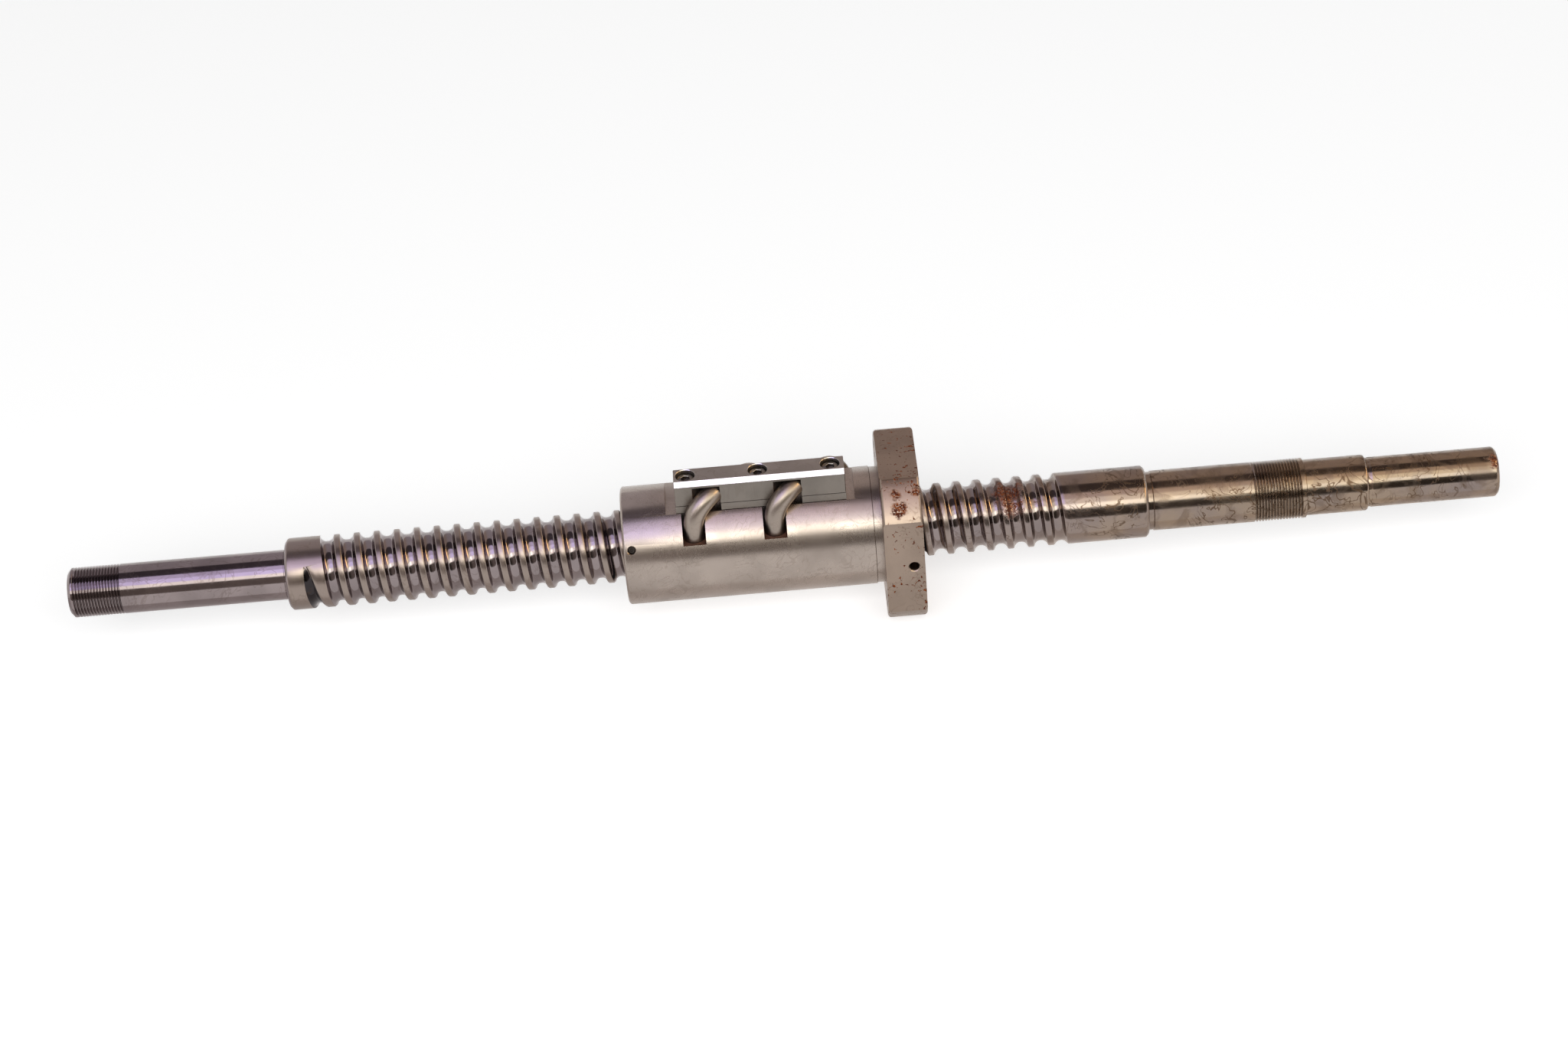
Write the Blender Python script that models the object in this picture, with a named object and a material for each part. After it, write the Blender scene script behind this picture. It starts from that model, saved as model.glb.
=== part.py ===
"""Ball screw with a flanged nut and two external return tubes.

The screw lies along X, with the origin at the centre of its left end face. +Z points out of
the side of the nut that carries the clamp bar. The return tubes' front legs stand at -Y.
"""
import math

import bmesh
import bpy
import numpy as np
from mathutils import Vector

MM = 0.001

# Screw: the ball groove, one right-hand start
LEAD = 10.0 * MM
SCREW_RADIUS = 18.0 * MM
BALL_RADIUS = 3.175 * MM
BALL_CIRCLE_RADIUS = 18.4 * MM
BALL_GAP = 0.25 * MM
GROOVE_TURNS = 37.5
GROOVE_START_ANGLE = math.radians(133.5)
RUN_OUT_TURNS = 0.375

# Screw: plain lengths, left to right
LEFT_THREAD_LENGTH = 26.7 * MM
LEFT_THREAD_RADIUS = 12.5 * MM
LEFT_JOURNAL_LENGTH = 82.5 * MM
LEFT_JOURNAL_RADIUS = 12.5 * MM
LEFT_COLLAR_LENGTH = 12.6 * MM
RIGHT_COLLAR_LENGTH = 41.6 * MM
BEARING_JOURNAL_LENGTH = 54.5 * MM
BEARING_JOURNAL_RADIUS = 15.0 * MM
RIGHT_THREAD_LENGTH = 23.8 * MM
RIGHT_THREAD_RADIUS = 15.0 * MM
SEAL_JOURNAL_LENGTH = 31.5 * MM
SEAL_JOURNAL_RADIUS = 14.0 * MM
DRIVE_JOURNAL_LENGTH = 65.5 * MM
DRIVE_JOURNAL_RADIUS = 12.5 * MM
END_CHAMFER = 1.5 * MM
COLLAR_CHAMFER = 1.3 * MM
STEP_CHAMFER = 0.8 * MM
RELIEF_WIDTH = 2.5 * MM
RELIEF_DEPTH = 0.4 * MM

# Nut
NUT_LEFT = 277.5 * MM
NUT_BODY_LENGTH = 124.3 * MM
NUT_RADIUS = 29.5 * MM
NUT_BORE_RADIUS = 18.9 * MM
NUT_CHAMFER = 1.0 * MM
UNDERCUT_WIDTH = 3.8 * MM
UNDERCUT_DEPTH = 0.5 * MM
FLANGE_THICKNESS = 19.4 * MM
FLANGE_RADIUS = 47.0 * MM
FLANGE_HALF_WIDTH = 38.7 * MM
FLANGE_HALF_HEIGHT = 41.7 * MM
FLANGE_CHAMFER = 1.0 * MM
BOLT_CIRCLE_RADIUS = 38.0 * MM
BOLT_HOLE_RADIUS = 4.5 * MM
BOLT_HEAD_RADIUS = 7.0 * MM
BOLT_HEAD_DEPTH = 8.5 * MM
BOLT_COUNT = 4
GREASE_PORT_RADIUS = 2.5 * MM
GREASE_PORT_DEPTH = 12.0 * MM
GREASE_PORT_FROM_FACE = 5.4 * MM

# Return tubes, their seats and the flat above them
CIRCUIT_TURNS = 3.5
CIRCUIT_PITCH_TURNS = 4
FIRST_LEG_FROM_NUT_END = 35.0 * MM
TUBE_RADIUS = 4.3 * MM
TUBE_BORE_RADIUS = 3.45 * MM
TUBE_FOOT_HEIGHT = 12.0 * MM
TUBE_BEND_START = 20.7 * MM
TUBE_FRONT_BEND = 14.0 * MM
TUBE_BACK_BEND = 11.0 * MM
TUBE_CROWN_FALL = math.radians(14.0)
TUBE_CHANNEL_GAP = 1.1 * MM
POCKET_HALF_WIDTH = 5.7 * MM
POCKET_FLOOR = 14.7 * MM
POCKET_REACH = 4.6 * MM
FLAT_HEIGHT = 26.1 * MM
FLAT_BEFORE_CLAMP = 5.3 * MM
FLAT_PAST_CLAMP = 4.2 * MM

# Clamp bar, its pads and screws
CLAMP_BEFORE_LEG = 8.0 * MM
CLAMP_PAST_LEG = 36.2 * MM
CLAMP_FRONT = -13.6 * MM
CLAMP_BACK = 1.2 * MM
CLAMP_TOP = 43.6 * MM
CLAMP_CHAMFER = 2.1 * MM
PAD_THICKNESS = 3.8 * MM
NOTCH_GAP = 0.4 * MM
NOTCH_ROOF = 40.4 * MM
CLAMP_SCREW_FROM_LEFT = 5.9 * MM
CLAMP_SCREW_FROM_RIGHT = 6.9 * MM
CLAMP_SCREW_RADIUS = 2.5 * MM
CLAMP_SCREW_FOOT = 23.0 * MM
SCREW_HEAD_RADIUS = 4.25 * MM
SCREW_HEAD_HEIGHT = 5.0 * MM
SCREW_SOCKET_RADIUS = 2.3 * MM
SCREW_SOCKET_DEPTH = 2.5 * MM
HEAD_HOLE_RADIUS = 4.8 * MM
HEAD_HOLE_DEPTH = 7.0 * MM

# Wipers and what holds them
WIPER_SEAT_RADIUS = 22.0 * MM
WIPER_SEAT_DEPTH = 8.0 * MM
WIPER_BORE_RADIUS = 18.4 * MM
LEFT_WIPER_WIDTH = 7.0 * MM
RIGHT_WIPER_WIDTH = 5.0 * MM
SET_SCREW_RADIUS = 1.7 * MM
SET_SCREW_LENGTH = 6.8 * MM
SET_SCREW_FROM_NUT_END = 4.3 * MM
SET_SCREW_ANGLE = math.radians(149.8)
RETAINER_WIDTH = 1.2 * MM
RETAINER_OUTER_RADIUS = 22.9 * MM
RETAINER_INNER_RADIUS = 19.8 * MM
RETAINER_MOUTH = math.radians(40.0)

# Balls that stand for the two full trains
GROOVE_BALLS = 10
TUBE_BALLS = 2

# Gap between pieces that seat on each other, and between a screw and its hole
SEAT_GAP = 0.3 * MM

# Facets round the screw, the nut, the tubes and the small parts
SCREW_FACETS = 16
NUT_FACETS = 48
TUBE_FACETS = 10
SMALL_FACETS = 12
BEND_STEP = math.radians(22.5)
CUTTER_OVERRUN = 2.0 * MM

GROOVE_ARC_RADIUS = BALL_RADIUS + BALL_GAP
LEFT_SHOULDER = LEFT_THREAD_LENGTH + LEFT_JOURNAL_LENGTH
GROOVE_START = LEFT_SHOULDER + LEFT_COLLAR_LENGTH
RIGHT_SHOULDER = GROOVE_START + GROOVE_TURNS * LEAD + RIGHT_COLLAR_LENGTH
FLANGE_FACE = NUT_LEFT + NUT_BODY_LENGTH + UNDERCUT_WIDTH
NUT_RIGHT = FLANGE_FACE + FLANGE_THICKNESS
CLAMP_MIDDLE = (CLAMP_FRONT + CLAMP_BACK) / 2
PAD_TOP = FLAT_HEIGHT + SEAT_GAP + PAD_THICKNESS
BAR_BOTTOM = PAD_TOP + SEAT_GAP


def groove_position(angle):
    """Where along X the groove's centre crosses an angle counted from +Y towards +Z."""
    return GROOVE_START + LEAD * (angle - GROOVE_START_ANGLE) / math.tau


def first_leg_position():
    """The first place where the groove passes the front, far enough from the nut's end."""
    front = groove_position(math.pi)
    turns = math.ceil((NUT_LEFT + FIRST_LEG_FROM_NUT_END - front) / LEAD)
    return front + turns * LEAD


FIRST_LEG = first_leg_position()
CIRCUIT_PITCH = CIRCUIT_PITCH_TURNS * LEAD


def circuit_count():
    """As many circuits as the nut's body has room for, with the clamp and the flat past them."""
    room = NUT_LEFT + NUT_BODY_LENGTH - FIRST_LEG - CLAMP_PAST_LEG - FLAT_PAST_CLAMP
    return 1 + math.floor(room / CIRCUIT_PITCH)


CIRCUIT_COUNT = circuit_count()
LEG_POSITIONS = [FIRST_LEG + i * CIRCUIT_PITCH for i in range(CIRCUIT_COUNT)]
TUBE_SPAN = math.hypot(CIRCUIT_TURNS * LEAD, 2 * BALL_CIRCLE_RADIUS)
TUBE_DIRECTION = Vector((CIRCUIT_TURNS * LEAD, 2 * BALL_CIRCLE_RADIUS, 0)) / TUBE_SPAN
TUBE_SIDEWAYS = Vector((-TUBE_DIRECTION.y, TUBE_DIRECTION.x, 0))
CLAMP_LEFT = FIRST_LEG - CLAMP_BEFORE_LEG
CLAMP_LENGTH = LEG_POSITIONS[-1] + CLAMP_PAST_LEG - CLAMP_LEFT
CLAMP_SCREW_COUNT = CIRCUIT_COUNT + 1
CLAMP_SCREW_SPACING = (CLAMP_LENGTH - CLAMP_SCREW_FROM_LEFT - CLAMP_SCREW_FROM_RIGHT) / CIRCUIT_COUNT
CLAMP_SCREW_POSITIONS = [
    CLAMP_LEFT + CLAMP_SCREW_FROM_LEFT + i * CLAMP_SCREW_SPACING for i in range(CLAMP_SCREW_COUNT)
]


# Meshes

def loft(loops, cyclic=False):
    """Vertices and faces of a skin over equal closed loops, with its open ends capped."""
    count = len(loops[0])
    vertices = [tuple(point) for loop in loops for point in loop]
    spans = [(i, i + 1) for i in range(len(loops) - 1)]
    if cyclic:
        spans.append((len(loops) - 1, 0))
    faces = []
    for a, b in spans:
        for i in range(count):
            j = (i + 1) % count
            faces.append((a * count + i, a * count + j, b * count + j, b * count + i))
    if not cyclic:
        faces.append(tuple(range(count)))
        faces.append(tuple(range((len(loops) - 1) * count, len(loops) * count)))
    return vertices, faces


def circle(centre, radius, across, up, sides):
    """Points of a circle in the plane of two unit vectors."""
    angles = [math.tau * i / sides for i in range(sides)]
    return [
        Vector(centre) + radius * (math.cos(a) * Vector(across) + math.sin(a) * Vector(up))
        for a in angles
    ]


def turned(profile, sides=NUT_FACETS):
    """A solid of revolution about X, from (x, radius) points in order."""
    return loft([circle((x, 0, 0), r, (0, 1, 0), (0, 0, 1), sides) for x, r in profile])


def turned_ring(profile, sides=NUT_FACETS, mouth=0.0):
    """A closed (x, radius) outline turned about X, with an optional mouth in the ring."""
    sweep = math.tau - mouth
    count = sides if mouth == 0 else sides + 1
    angles = [mouth / 2 + sweep * i / sides for i in range(count)]
    loops = [[(x, r * math.cos(a), r * math.sin(a)) for x, r in profile] for a in angles]
    return loft(loops, cyclic=(mouth == 0))


def stepped_pin(base, direction, steps, sides=SMALL_FACETS):
    """A round solid along a direction, from (distance, radius) points in order."""
    direction = Vector(direction).normalized()
    across = direction.orthogonal().normalized()
    up = direction.cross(across)
    base = Vector(base)
    return loft([circle(base + direction * d, r, across, up, sides) for d, r in steps])


def prism(outline, bottom, top):
    """A plan outline of (x, y) points raised between two heights."""
    return loft([[(x, y, z) for x, y in outline] for z in (bottom, top)])


def block(low, high):
    """A box between two corners."""
    outline = [(low[0], low[1]), (high[0], low[1]), (high[0], high[1]), (low[0], high[1])]
    return prism(outline, low[2], high[2])


def joined(solids):
    """Several solids as one list of vertices and one list of faces."""
    vertices = []
    faces = []
    for solid_vertices, solid_faces in solids:
        start = len(vertices)
        vertices += solid_vertices
        faces += [tuple(start + i for i in face) for face in solid_faces]
    return vertices, faces


# The ball groove

def groove_section(side, land_radius, retreat):
    """Five (x offset, radius) points across the groove, from edge to edge.

    side is -1 for the screw, whose groove is cut inwards, and 1 for the nut. The arc's centre
    has moved out of the wall by retreat. The inner points stand just outside the arc, so that
    the flats between them touch it and leave the ball its room.
    """
    centre = BALL_CIRCLE_RADIUS - side * retreat
    edge = math.acos(side * (land_radius - centre) / GROOVE_ARC_RADIUS)
    points = []
    for share in (-1.0, -0.5, 0.0, 0.5, 1.0):
        reach = GROOVE_ARC_RADIUS
        if abs(share) < 1.0:
            reach /= math.cos(edge / 4)
        angle = share * edge
        points.append((reach * math.sin(angle), centre + side * reach * math.cos(angle)))
    return points


def grooved_wall(side, land_radius, first, last, before, after):
    """A closed solid about X whose middle wall carries the ball groove.

    first and last number the groove's ends in steps from the screw's own groove start. before
    and after are the (x, radius) points of the plain stretches, left to right. The groove rises
    to a point at each end, within RUN_OUT_TURNS.
    """
    count = SCREW_FACETS
    stretch = 1.0 if side < 0 else 1.0 / math.cos(math.pi / count)
    full_retreat = GROOVE_ARC_RADIUS - side * (land_radius - BALL_CIRCLE_RADIUS)
    vertices = []
    faces = []

    def add(x, radius, step):
        angle = GROOVE_START_ANGLE + math.tau * step / count
        radius *= stretch
        vertices.append((x, radius * math.cos(angle), radius * math.sin(angle)))
        return len(vertices) - 1

    def ring(x, radius):
        return [add(x, radius, first + i) for i in range(count)]

    def bands(rings):
        for a, b in zip(rings, rings[1:]):
            for i in range(count):
                j = (i + 1) % count
                faces.append((a[i], a[j], b[j], b[i]))

    rows = []
    for step in range(first, last + 1):
        x = GROOVE_START + LEAD * step / count
        from_end = min(step - first, last - step) / (RUN_OUT_TURNS * count)
        if from_end == 0:
            rows.append([add(x, land_radius, step)] * 5)
        else:
            retreat = full_retreat * max(0.0, 1.0 - from_end)
            section = groove_section(side, land_radius, retreat)
            rows.append([add(x + dx, radius, step) for dx, radius in section])
    end = len(rows) - 1

    for i in range(end):
        for j in range(4):
            corners = (rows[i][j], rows[i][j + 1], rows[i + 1][j + 1], rows[i + 1][j])
            faces.append(tuple(dict.fromkeys(corners)))
    for i in range(end - count):
        faces.append((rows[i][4], rows[i + 1][4], rows[i + count + 1][0], rows[i + count][0]))

    left_rings = [ring(x, radius) for x, radius in before]
    right_rings = [ring(x, radius) for x, radius in after]
    bands(left_rings)
    bands(right_rings)
    faces.append(tuple(left_rings[0]))
    faces.append(tuple(right_rings[-1]))

    left = left_rings[-1]
    for i in range(count - 1):
        faces.append((left[i], left[i + 1], rows[i + 1][0], rows[i][0]))
    corner = rows[count - 1][0]
    faces.append((left[count - 1], left[0], corner))
    faces.append((corner, left[0], rows[0][0]))
    faces.append((corner, rows[0][0], rows[count][0]))

    right = right_rings[0]
    for i in range(end - count + 1, end):
        faces.append((rows[i][4], rows[i + 1][4], right[(i + 1) % count], right[i % count]))
    corner = rows[end - count + 1][4]
    faces.append((corner, right[(end - count + 1) % count], right[end % count]))
    faces.append((corner, right[end % count], rows[end][4]))
    faces.append((corner, rows[end][4], rows[end - count][4]))
    return vertices, faces


# Objects

def metal(name, colour, roughness, metallic=1.0):
    """A plain material with the part's colour, roughness and metallic value."""
    material = bpy.data.materials.new(name)
    material.use_nodes = True
    shader = material.node_tree.nodes["Principled BSDF"]
    shader.inputs["Base Color"].default_value = (*colour, 1.0)
    shader.inputs["Roughness"].default_value = roughness
    shader.inputs["Metallic"].default_value = metallic
    return material


def make_object(name, solid, material=None):
    """An object from vertices and faces, with its faces pointing out."""
    mesh = bpy.data.meshes.new(name)
    mesh.from_pydata(solid[0], [], solid[1])
    editing = bmesh.new()
    editing.from_mesh(mesh)
    bmesh.ops.recalc_face_normals(editing, faces=editing.faces[:])
    editing.to_mesh(mesh)
    editing.free()
    if material is not None:
        mesh.materials.append(material)
    mesh.shade_smooth()
    mesh.set_sharp_from_angle(angle=math.radians(35))
    piece = bpy.data.objects.new(name, mesh)
    bpy.context.collection.objects.link(piece)
    return piece


def cut(piece, name, solids):
    """Cut solids that don't meet each other out of a piece."""
    cutter = make_object(f"{piece.name}_{name}_cutter", joined(solids))
    cutter.display_type = "WIRE"
    cutter.hide_render = True
    modifier = piece.modifiers.new(name, "BOOLEAN")
    modifier.operation = "DIFFERENCE"
    modifier.object = cutter


# The return tube's centre line

def tube_line():
    """(distance, height, slope) along the tube in its own upright plane, foot to foot.

    The front leg bends over into a crown that falls a little towards the back, where a second
    bend brings it down. slope is the angle of travel above the level.
    """
    quarter = math.pi / 2
    front_turn = quarter + TUBE_CROWN_FALL
    back_turn = quarter - TUBE_CROWN_FALL
    line = [(0.0, TUBE_FOOT_HEIGHT, quarter)]
    steps = math.ceil(front_turn / BEND_STEP)
    for i in range(steps + 1):
        turn = front_turn * i / steps
        distance = TUBE_FRONT_BEND * (1 - math.cos(turn))
        line.append((distance, TUBE_BEND_START + TUBE_FRONT_BEND * math.sin(turn), quarter - turn))
    crown_start, crown_height, _ = line[-1]
    centre = TUBE_SPAN - TUBE_BACK_BEND
    bend_start = centre + TUBE_BACK_BEND * math.sin(TUBE_CROWN_FALL)
    bend_height = crown_height - math.tan(TUBE_CROWN_FALL) * (bend_start - crown_start)
    centre_height = bend_height - TUBE_BACK_BEND * math.cos(TUBE_CROWN_FALL)
    steps = math.ceil(back_turn / BEND_STEP)
    for i in range(steps + 1):
        turn = TUBE_CROWN_FALL + back_turn * i / steps
        distance = centre + TUBE_BACK_BEND * math.sin(turn)
        line.append((distance, centre_height + TUBE_BACK_BEND * math.cos(turn), -turn))
    line.append((TUBE_SPAN, TUBE_FOOT_HEIGHT, -quarter))
    return line


def tube_point(leg, distance, height):
    """A point of a tube's own plane, in space."""
    foot = Vector((leg, -BALL_CIRCLE_RADIUS, height))
    return foot + TUBE_DIRECTION * distance


def tube_loops(leg, radius):
    """Circles along a return tube."""
    loops = []
    for distance, height, slope in tube_line():
        normal = Vector((0, 0, math.cos(slope))) - TUBE_DIRECTION * math.sin(slope)
        centre = tube_point(leg, distance, height)
        loops.append(circle(centre, radius, normal, TUBE_SIDEWAYS, TUBE_FACETS))
    return loops


def leg_feet():
    """(x, y) of every tube leg, front and back."""
    feet = []
    for leg in LEG_POSITIONS:
        feet.append((leg, -BALL_CIRCLE_RADIUS))
        feet.append((leg + CIRCUIT_TURNS * LEAD, BALL_CIRCLE_RADIUS))
    return feet


# Pieces

def screw_shaft(material):
    """The screw, from its left thread to its right drive journal."""
    bearing_end = RIGHT_SHOULDER + BEARING_JOURNAL_LENGTH
    thread_end = bearing_end + RIGHT_THREAD_LENGTH
    seal_end = thread_end + SEAL_JOURNAL_LENGTH
    drive_end = seal_end + DRIVE_JOURNAL_LENGTH
    left = [
        (0.0, LEFT_THREAD_RADIUS - END_CHAMFER),
        (END_CHAMFER, LEFT_THREAD_RADIUS),
        (LEFT_THREAD_LENGTH, LEFT_THREAD_RADIUS),
        (LEFT_SHOULDER, LEFT_JOURNAL_RADIUS),
        (LEFT_SHOULDER, SCREW_RADIUS - COLLAR_CHAMFER),
        (LEFT_SHOULDER + COLLAR_CHAMFER, SCREW_RADIUS),
    ]
    right = [
        (RIGHT_SHOULDER - COLLAR_CHAMFER, SCREW_RADIUS),
        (RIGHT_SHOULDER, SCREW_RADIUS - COLLAR_CHAMFER),
        (RIGHT_SHOULDER, BEARING_JOURNAL_RADIUS - RELIEF_DEPTH),
        (RIGHT_SHOULDER + RELIEF_WIDTH, BEARING_JOURNAL_RADIUS - RELIEF_DEPTH),
        (RIGHT_SHOULDER + RELIEF_WIDTH, BEARING_JOURNAL_RADIUS),
        (bearing_end, RIGHT_THREAD_RADIUS),
        (thread_end - STEP_CHAMFER, RIGHT_THREAD_RADIUS),
        (thread_end, RIGHT_THREAD_RADIUS - STEP_CHAMFER),
        (thread_end, SEAL_JOURNAL_RADIUS),
        (seal_end - STEP_CHAMFER, SEAL_JOURNAL_RADIUS),
        (seal_end, SEAL_JOURNAL_RADIUS - STEP_CHAMFER),
        (seal_end, DRIVE_JOURNAL_RADIUS),
        (drive_end - END_CHAMFER, DRIVE_JOURNAL_RADIUS),
        (drive_end, DRIVE_JOURNAL_RADIUS - END_CHAMFER),
    ]
    last = round(GROOVE_TURNS * SCREW_FACETS)
    wall = grooved_wall(-1, SCREW_RADIUS, 0, last, left, right)
    return make_object("screw_shaft", wall, material)


def nut_core():
    """The room inside the nut: its grooved bore, both wiper seats and the retainer's groove."""
    left_seat = NUT_LEFT + WIPER_SEAT_DEPTH
    right_seat = NUT_RIGHT - WIPER_SEAT_DEPTH
    retainer_left = right_seat + SEAT_GAP + RIGHT_WIPER_WIDTH
    retainer_right = retainer_left + RETAINER_WIDTH + 2 * SEAT_GAP
    groove_radius = RETAINER_OUTER_RADIUS + SEAT_GAP
    left = [
        (NUT_LEFT - CUTTER_OVERRUN, WIPER_SEAT_RADIUS),
        (left_seat, WIPER_SEAT_RADIUS),
        (left_seat, NUT_BORE_RADIUS),
    ]
    right = [
        (right_seat, NUT_BORE_RADIUS),
        (right_seat, WIPER_SEAT_RADIUS),
        (retainer_left, WIPER_SEAT_RADIUS),
        (retainer_left, groove_radius),
        (retainer_right, groove_radius),
        (retainer_right, WIPER_SEAT_RADIUS),
        (NUT_RIGHT + CUTTER_OVERRUN, WIPER_SEAT_RADIUS),
    ]
    step = LEAD / SCREW_FACETS
    clear = GROOVE_ARC_RADIUS
    first = math.ceil((left_seat + clear - GROOVE_START) / step)
    last = math.floor((right_seat - clear - GROOVE_START) / step)
    return grooved_wall(1, NUT_BORE_RADIUS, first, last, left, right)


def flange_flats():
    """Four blocks that leave the flange its flats."""
    low_x = FLANGE_FACE - CUTTER_OVERRUN
    high_x = NUT_RIGHT + CUTTER_OVERRUN
    reach = FLANGE_RADIUS + CUTTER_OVERRUN
    return [
        block((low_x, -reach, -FLANGE_HALF_HEIGHT + SEAT_GAP),
              (high_x, -FLANGE_HALF_WIDTH, FLANGE_HALF_HEIGHT - SEAT_GAP)),
        block((low_x, FLANGE_HALF_WIDTH, -FLANGE_HALF_HEIGHT + SEAT_GAP),
              (high_x, reach, FLANGE_HALF_HEIGHT - SEAT_GAP)),
        block((low_x, -reach, -reach), (high_x, reach, -FLANGE_HALF_HEIGHT)),
        block((low_x, -reach, FLANGE_HALF_HEIGHT), (high_x, reach, reach)),
    ]


def flange_bolt_holes():
    """Bolt holes on the diagonals, with their heads let into the right face."""
    length = FLANGE_THICKNESS + 2 * CUTTER_OVERRUN
    head = CUTTER_OVERRUN + FLANGE_THICKNESS - BOLT_HEAD_DEPTH
    steps = [(0, BOLT_HOLE_RADIUS), (head, BOLT_HOLE_RADIUS),
             (head, BOLT_HEAD_RADIUS), (length, BOLT_HEAD_RADIUS)]
    holes = []
    for i in range(BOLT_COUNT):
        angle = math.tau * (i + 0.5) / BOLT_COUNT
        base = (FLANGE_FACE - CUTTER_OVERRUN, BOLT_CIRCLE_RADIUS * math.cos(angle),
                BOLT_CIRCLE_RADIUS * math.sin(angle))
        holes.append(stepped_pin(base, (1, 0, 0), steps))
    return holes


def tube_pockets():
    """Pockets round the tubes' legs, open to the nut's side."""
    pockets = []
    reach = NUT_RADIUS + CUTTER_OVERRUN
    for x, y in leg_feet():
        inner = abs(y) - POCKET_REACH
        low_y, high_y = (-reach, -inner) if y < 0 else (inner, reach)
        pockets.append(block((x - POCKET_HALF_WIDTH, low_y, POCKET_FLOOR),
                             (x + POCKET_HALF_WIDTH, high_y, reach)))
    return pockets


def tube_seats():
    """Stepped holes: a seat for the tube's end, then a passage down to the groove."""
    seat_floor = TUBE_FOOT_HEIGHT - SEAT_GAP
    steps = [(0, TUBE_BORE_RADIUS), (seat_floor, TUBE_BORE_RADIUS),
             (seat_floor, TUBE_RADIUS + SEAT_GAP),
             (POCKET_FLOOR + CUTTER_OVERRUN, TUBE_RADIUS + SEAT_GAP)]
    return [stepped_pin((x, y, 0), (0, 0, 1), steps) for x, y in leg_feet()]


def set_screw_base(depth):
    """A point on the set screw's axis, at a depth below the nut's side, and its direction."""
    direction = Vector((0, math.cos(SET_SCREW_ANGLE), math.sin(SET_SCREW_ANGLE)))
    station = Vector((NUT_LEFT + SET_SCREW_FROM_NUT_END, 0, 0))
    return station + direction * (NUT_RADIUS - depth), direction


def ball_nut(material):
    """The nut: a turned body and flange, then everything that is bored or milled in it."""
    flange_rim = FLANGE_RADIUS - FLANGE_CHAMFER
    body_end = NUT_LEFT + NUT_BODY_LENGTH
    profile = [
        (NUT_LEFT, NUT_RADIUS - NUT_CHAMFER),
        (NUT_LEFT + NUT_CHAMFER, NUT_RADIUS),
        (body_end, NUT_RADIUS),
        (body_end, NUT_RADIUS - UNDERCUT_DEPTH),
        (FLANGE_FACE, NUT_RADIUS - UNDERCUT_DEPTH),
        (FLANGE_FACE, flange_rim),
        (FLANGE_FACE + FLANGE_CHAMFER, FLANGE_RADIUS),
        (NUT_RIGHT - FLANGE_CHAMFER, FLANGE_RADIUS),
        (NUT_RIGHT, flange_rim),
    ]
    nut = make_object("ball_nut", turned(profile), material)
    cut(nut, "bore", [nut_core()])
    cut(nut, "flats", flange_flats())
    cut(nut, "bolt_holes", flange_bolt_holes())
    port = (NUT_RIGHT - GREASE_PORT_FROM_FACE, -FLANGE_HALF_WIDTH - CUTTER_OVERRUN, 0)
    depth = GREASE_PORT_DEPTH + CUTTER_OVERRUN
    cut(nut, "grease_port", [stepped_pin(port, (0, 1, 0), [(0, GREASE_PORT_RADIUS),
                                                           (depth, GREASE_PORT_RADIUS)])])
    flat_left = CLAMP_LEFT - FLAT_BEFORE_CLAMP
    flat_right = CLAMP_LEFT + CLAMP_LENGTH + FLAT_PAST_CLAMP
    reach = NUT_RADIUS + CUTTER_OVERRUN
    cut(nut, "top_flat", [block((flat_left, -reach, FLAT_HEIGHT), (flat_right, reach, reach))])
    cut(nut, "pockets", tube_pockets())
    channel = TUBE_RADIUS + TUBE_CHANNEL_GAP
    cut(nut, "channels", [loft(tube_loops(leg, channel)[1:-1]) for leg in LEG_POSITIONS])
    cut(nut, "seats", tube_seats())
    hole_floor = CLAMP_SCREW_FOOT - SEAT_GAP
    hole_steps = [(0, CLAMP_SCREW_RADIUS + SEAT_GAP),
                  (reach - hole_floor, CLAMP_SCREW_RADIUS + SEAT_GAP)]
    cut(nut, "tapped_holes", [stepped_pin((x, CLAMP_MIDDLE, hole_floor), (0, 0, 1), hole_steps)
                              for x in CLAMP_SCREW_POSITIONS])
    inner = NUT_RADIUS - WIPER_SEAT_RADIUS + CUTTER_OVERRUN
    base, direction = set_screw_base(inner)
    set_radius = SET_SCREW_RADIUS + SEAT_GAP
    cut(nut, "set_screw_hole", [stepped_pin(base, direction, [
        (0, set_radius), (inner + CUTTER_OVERRUN, set_radius)])])
    return nut


def return_tube(number, leg, material):
    """One bent tube that carries the balls back across the nut."""
    outer = tube_loops(leg, TUBE_RADIUS)
    inner = tube_loops(leg, TUBE_BORE_RADIUS / math.cos(math.pi / TUBE_FACETS))
    solid = loft(outer + inner[::-1], cyclic=True)
    return make_object(f"return_tube_{number}", solid, material)


def notch_edges(leg, y):
    """Where a notch's two walls cross a line across the nut."""
    middle = leg + (y + BALL_CIRCLE_RADIUS) * TUBE_DIRECTION.x / TUBE_DIRECTION.y
    half = (TUBE_RADIUS + NOTCH_GAP) / TUBE_DIRECTION.y
    return middle - half, middle + half


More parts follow.
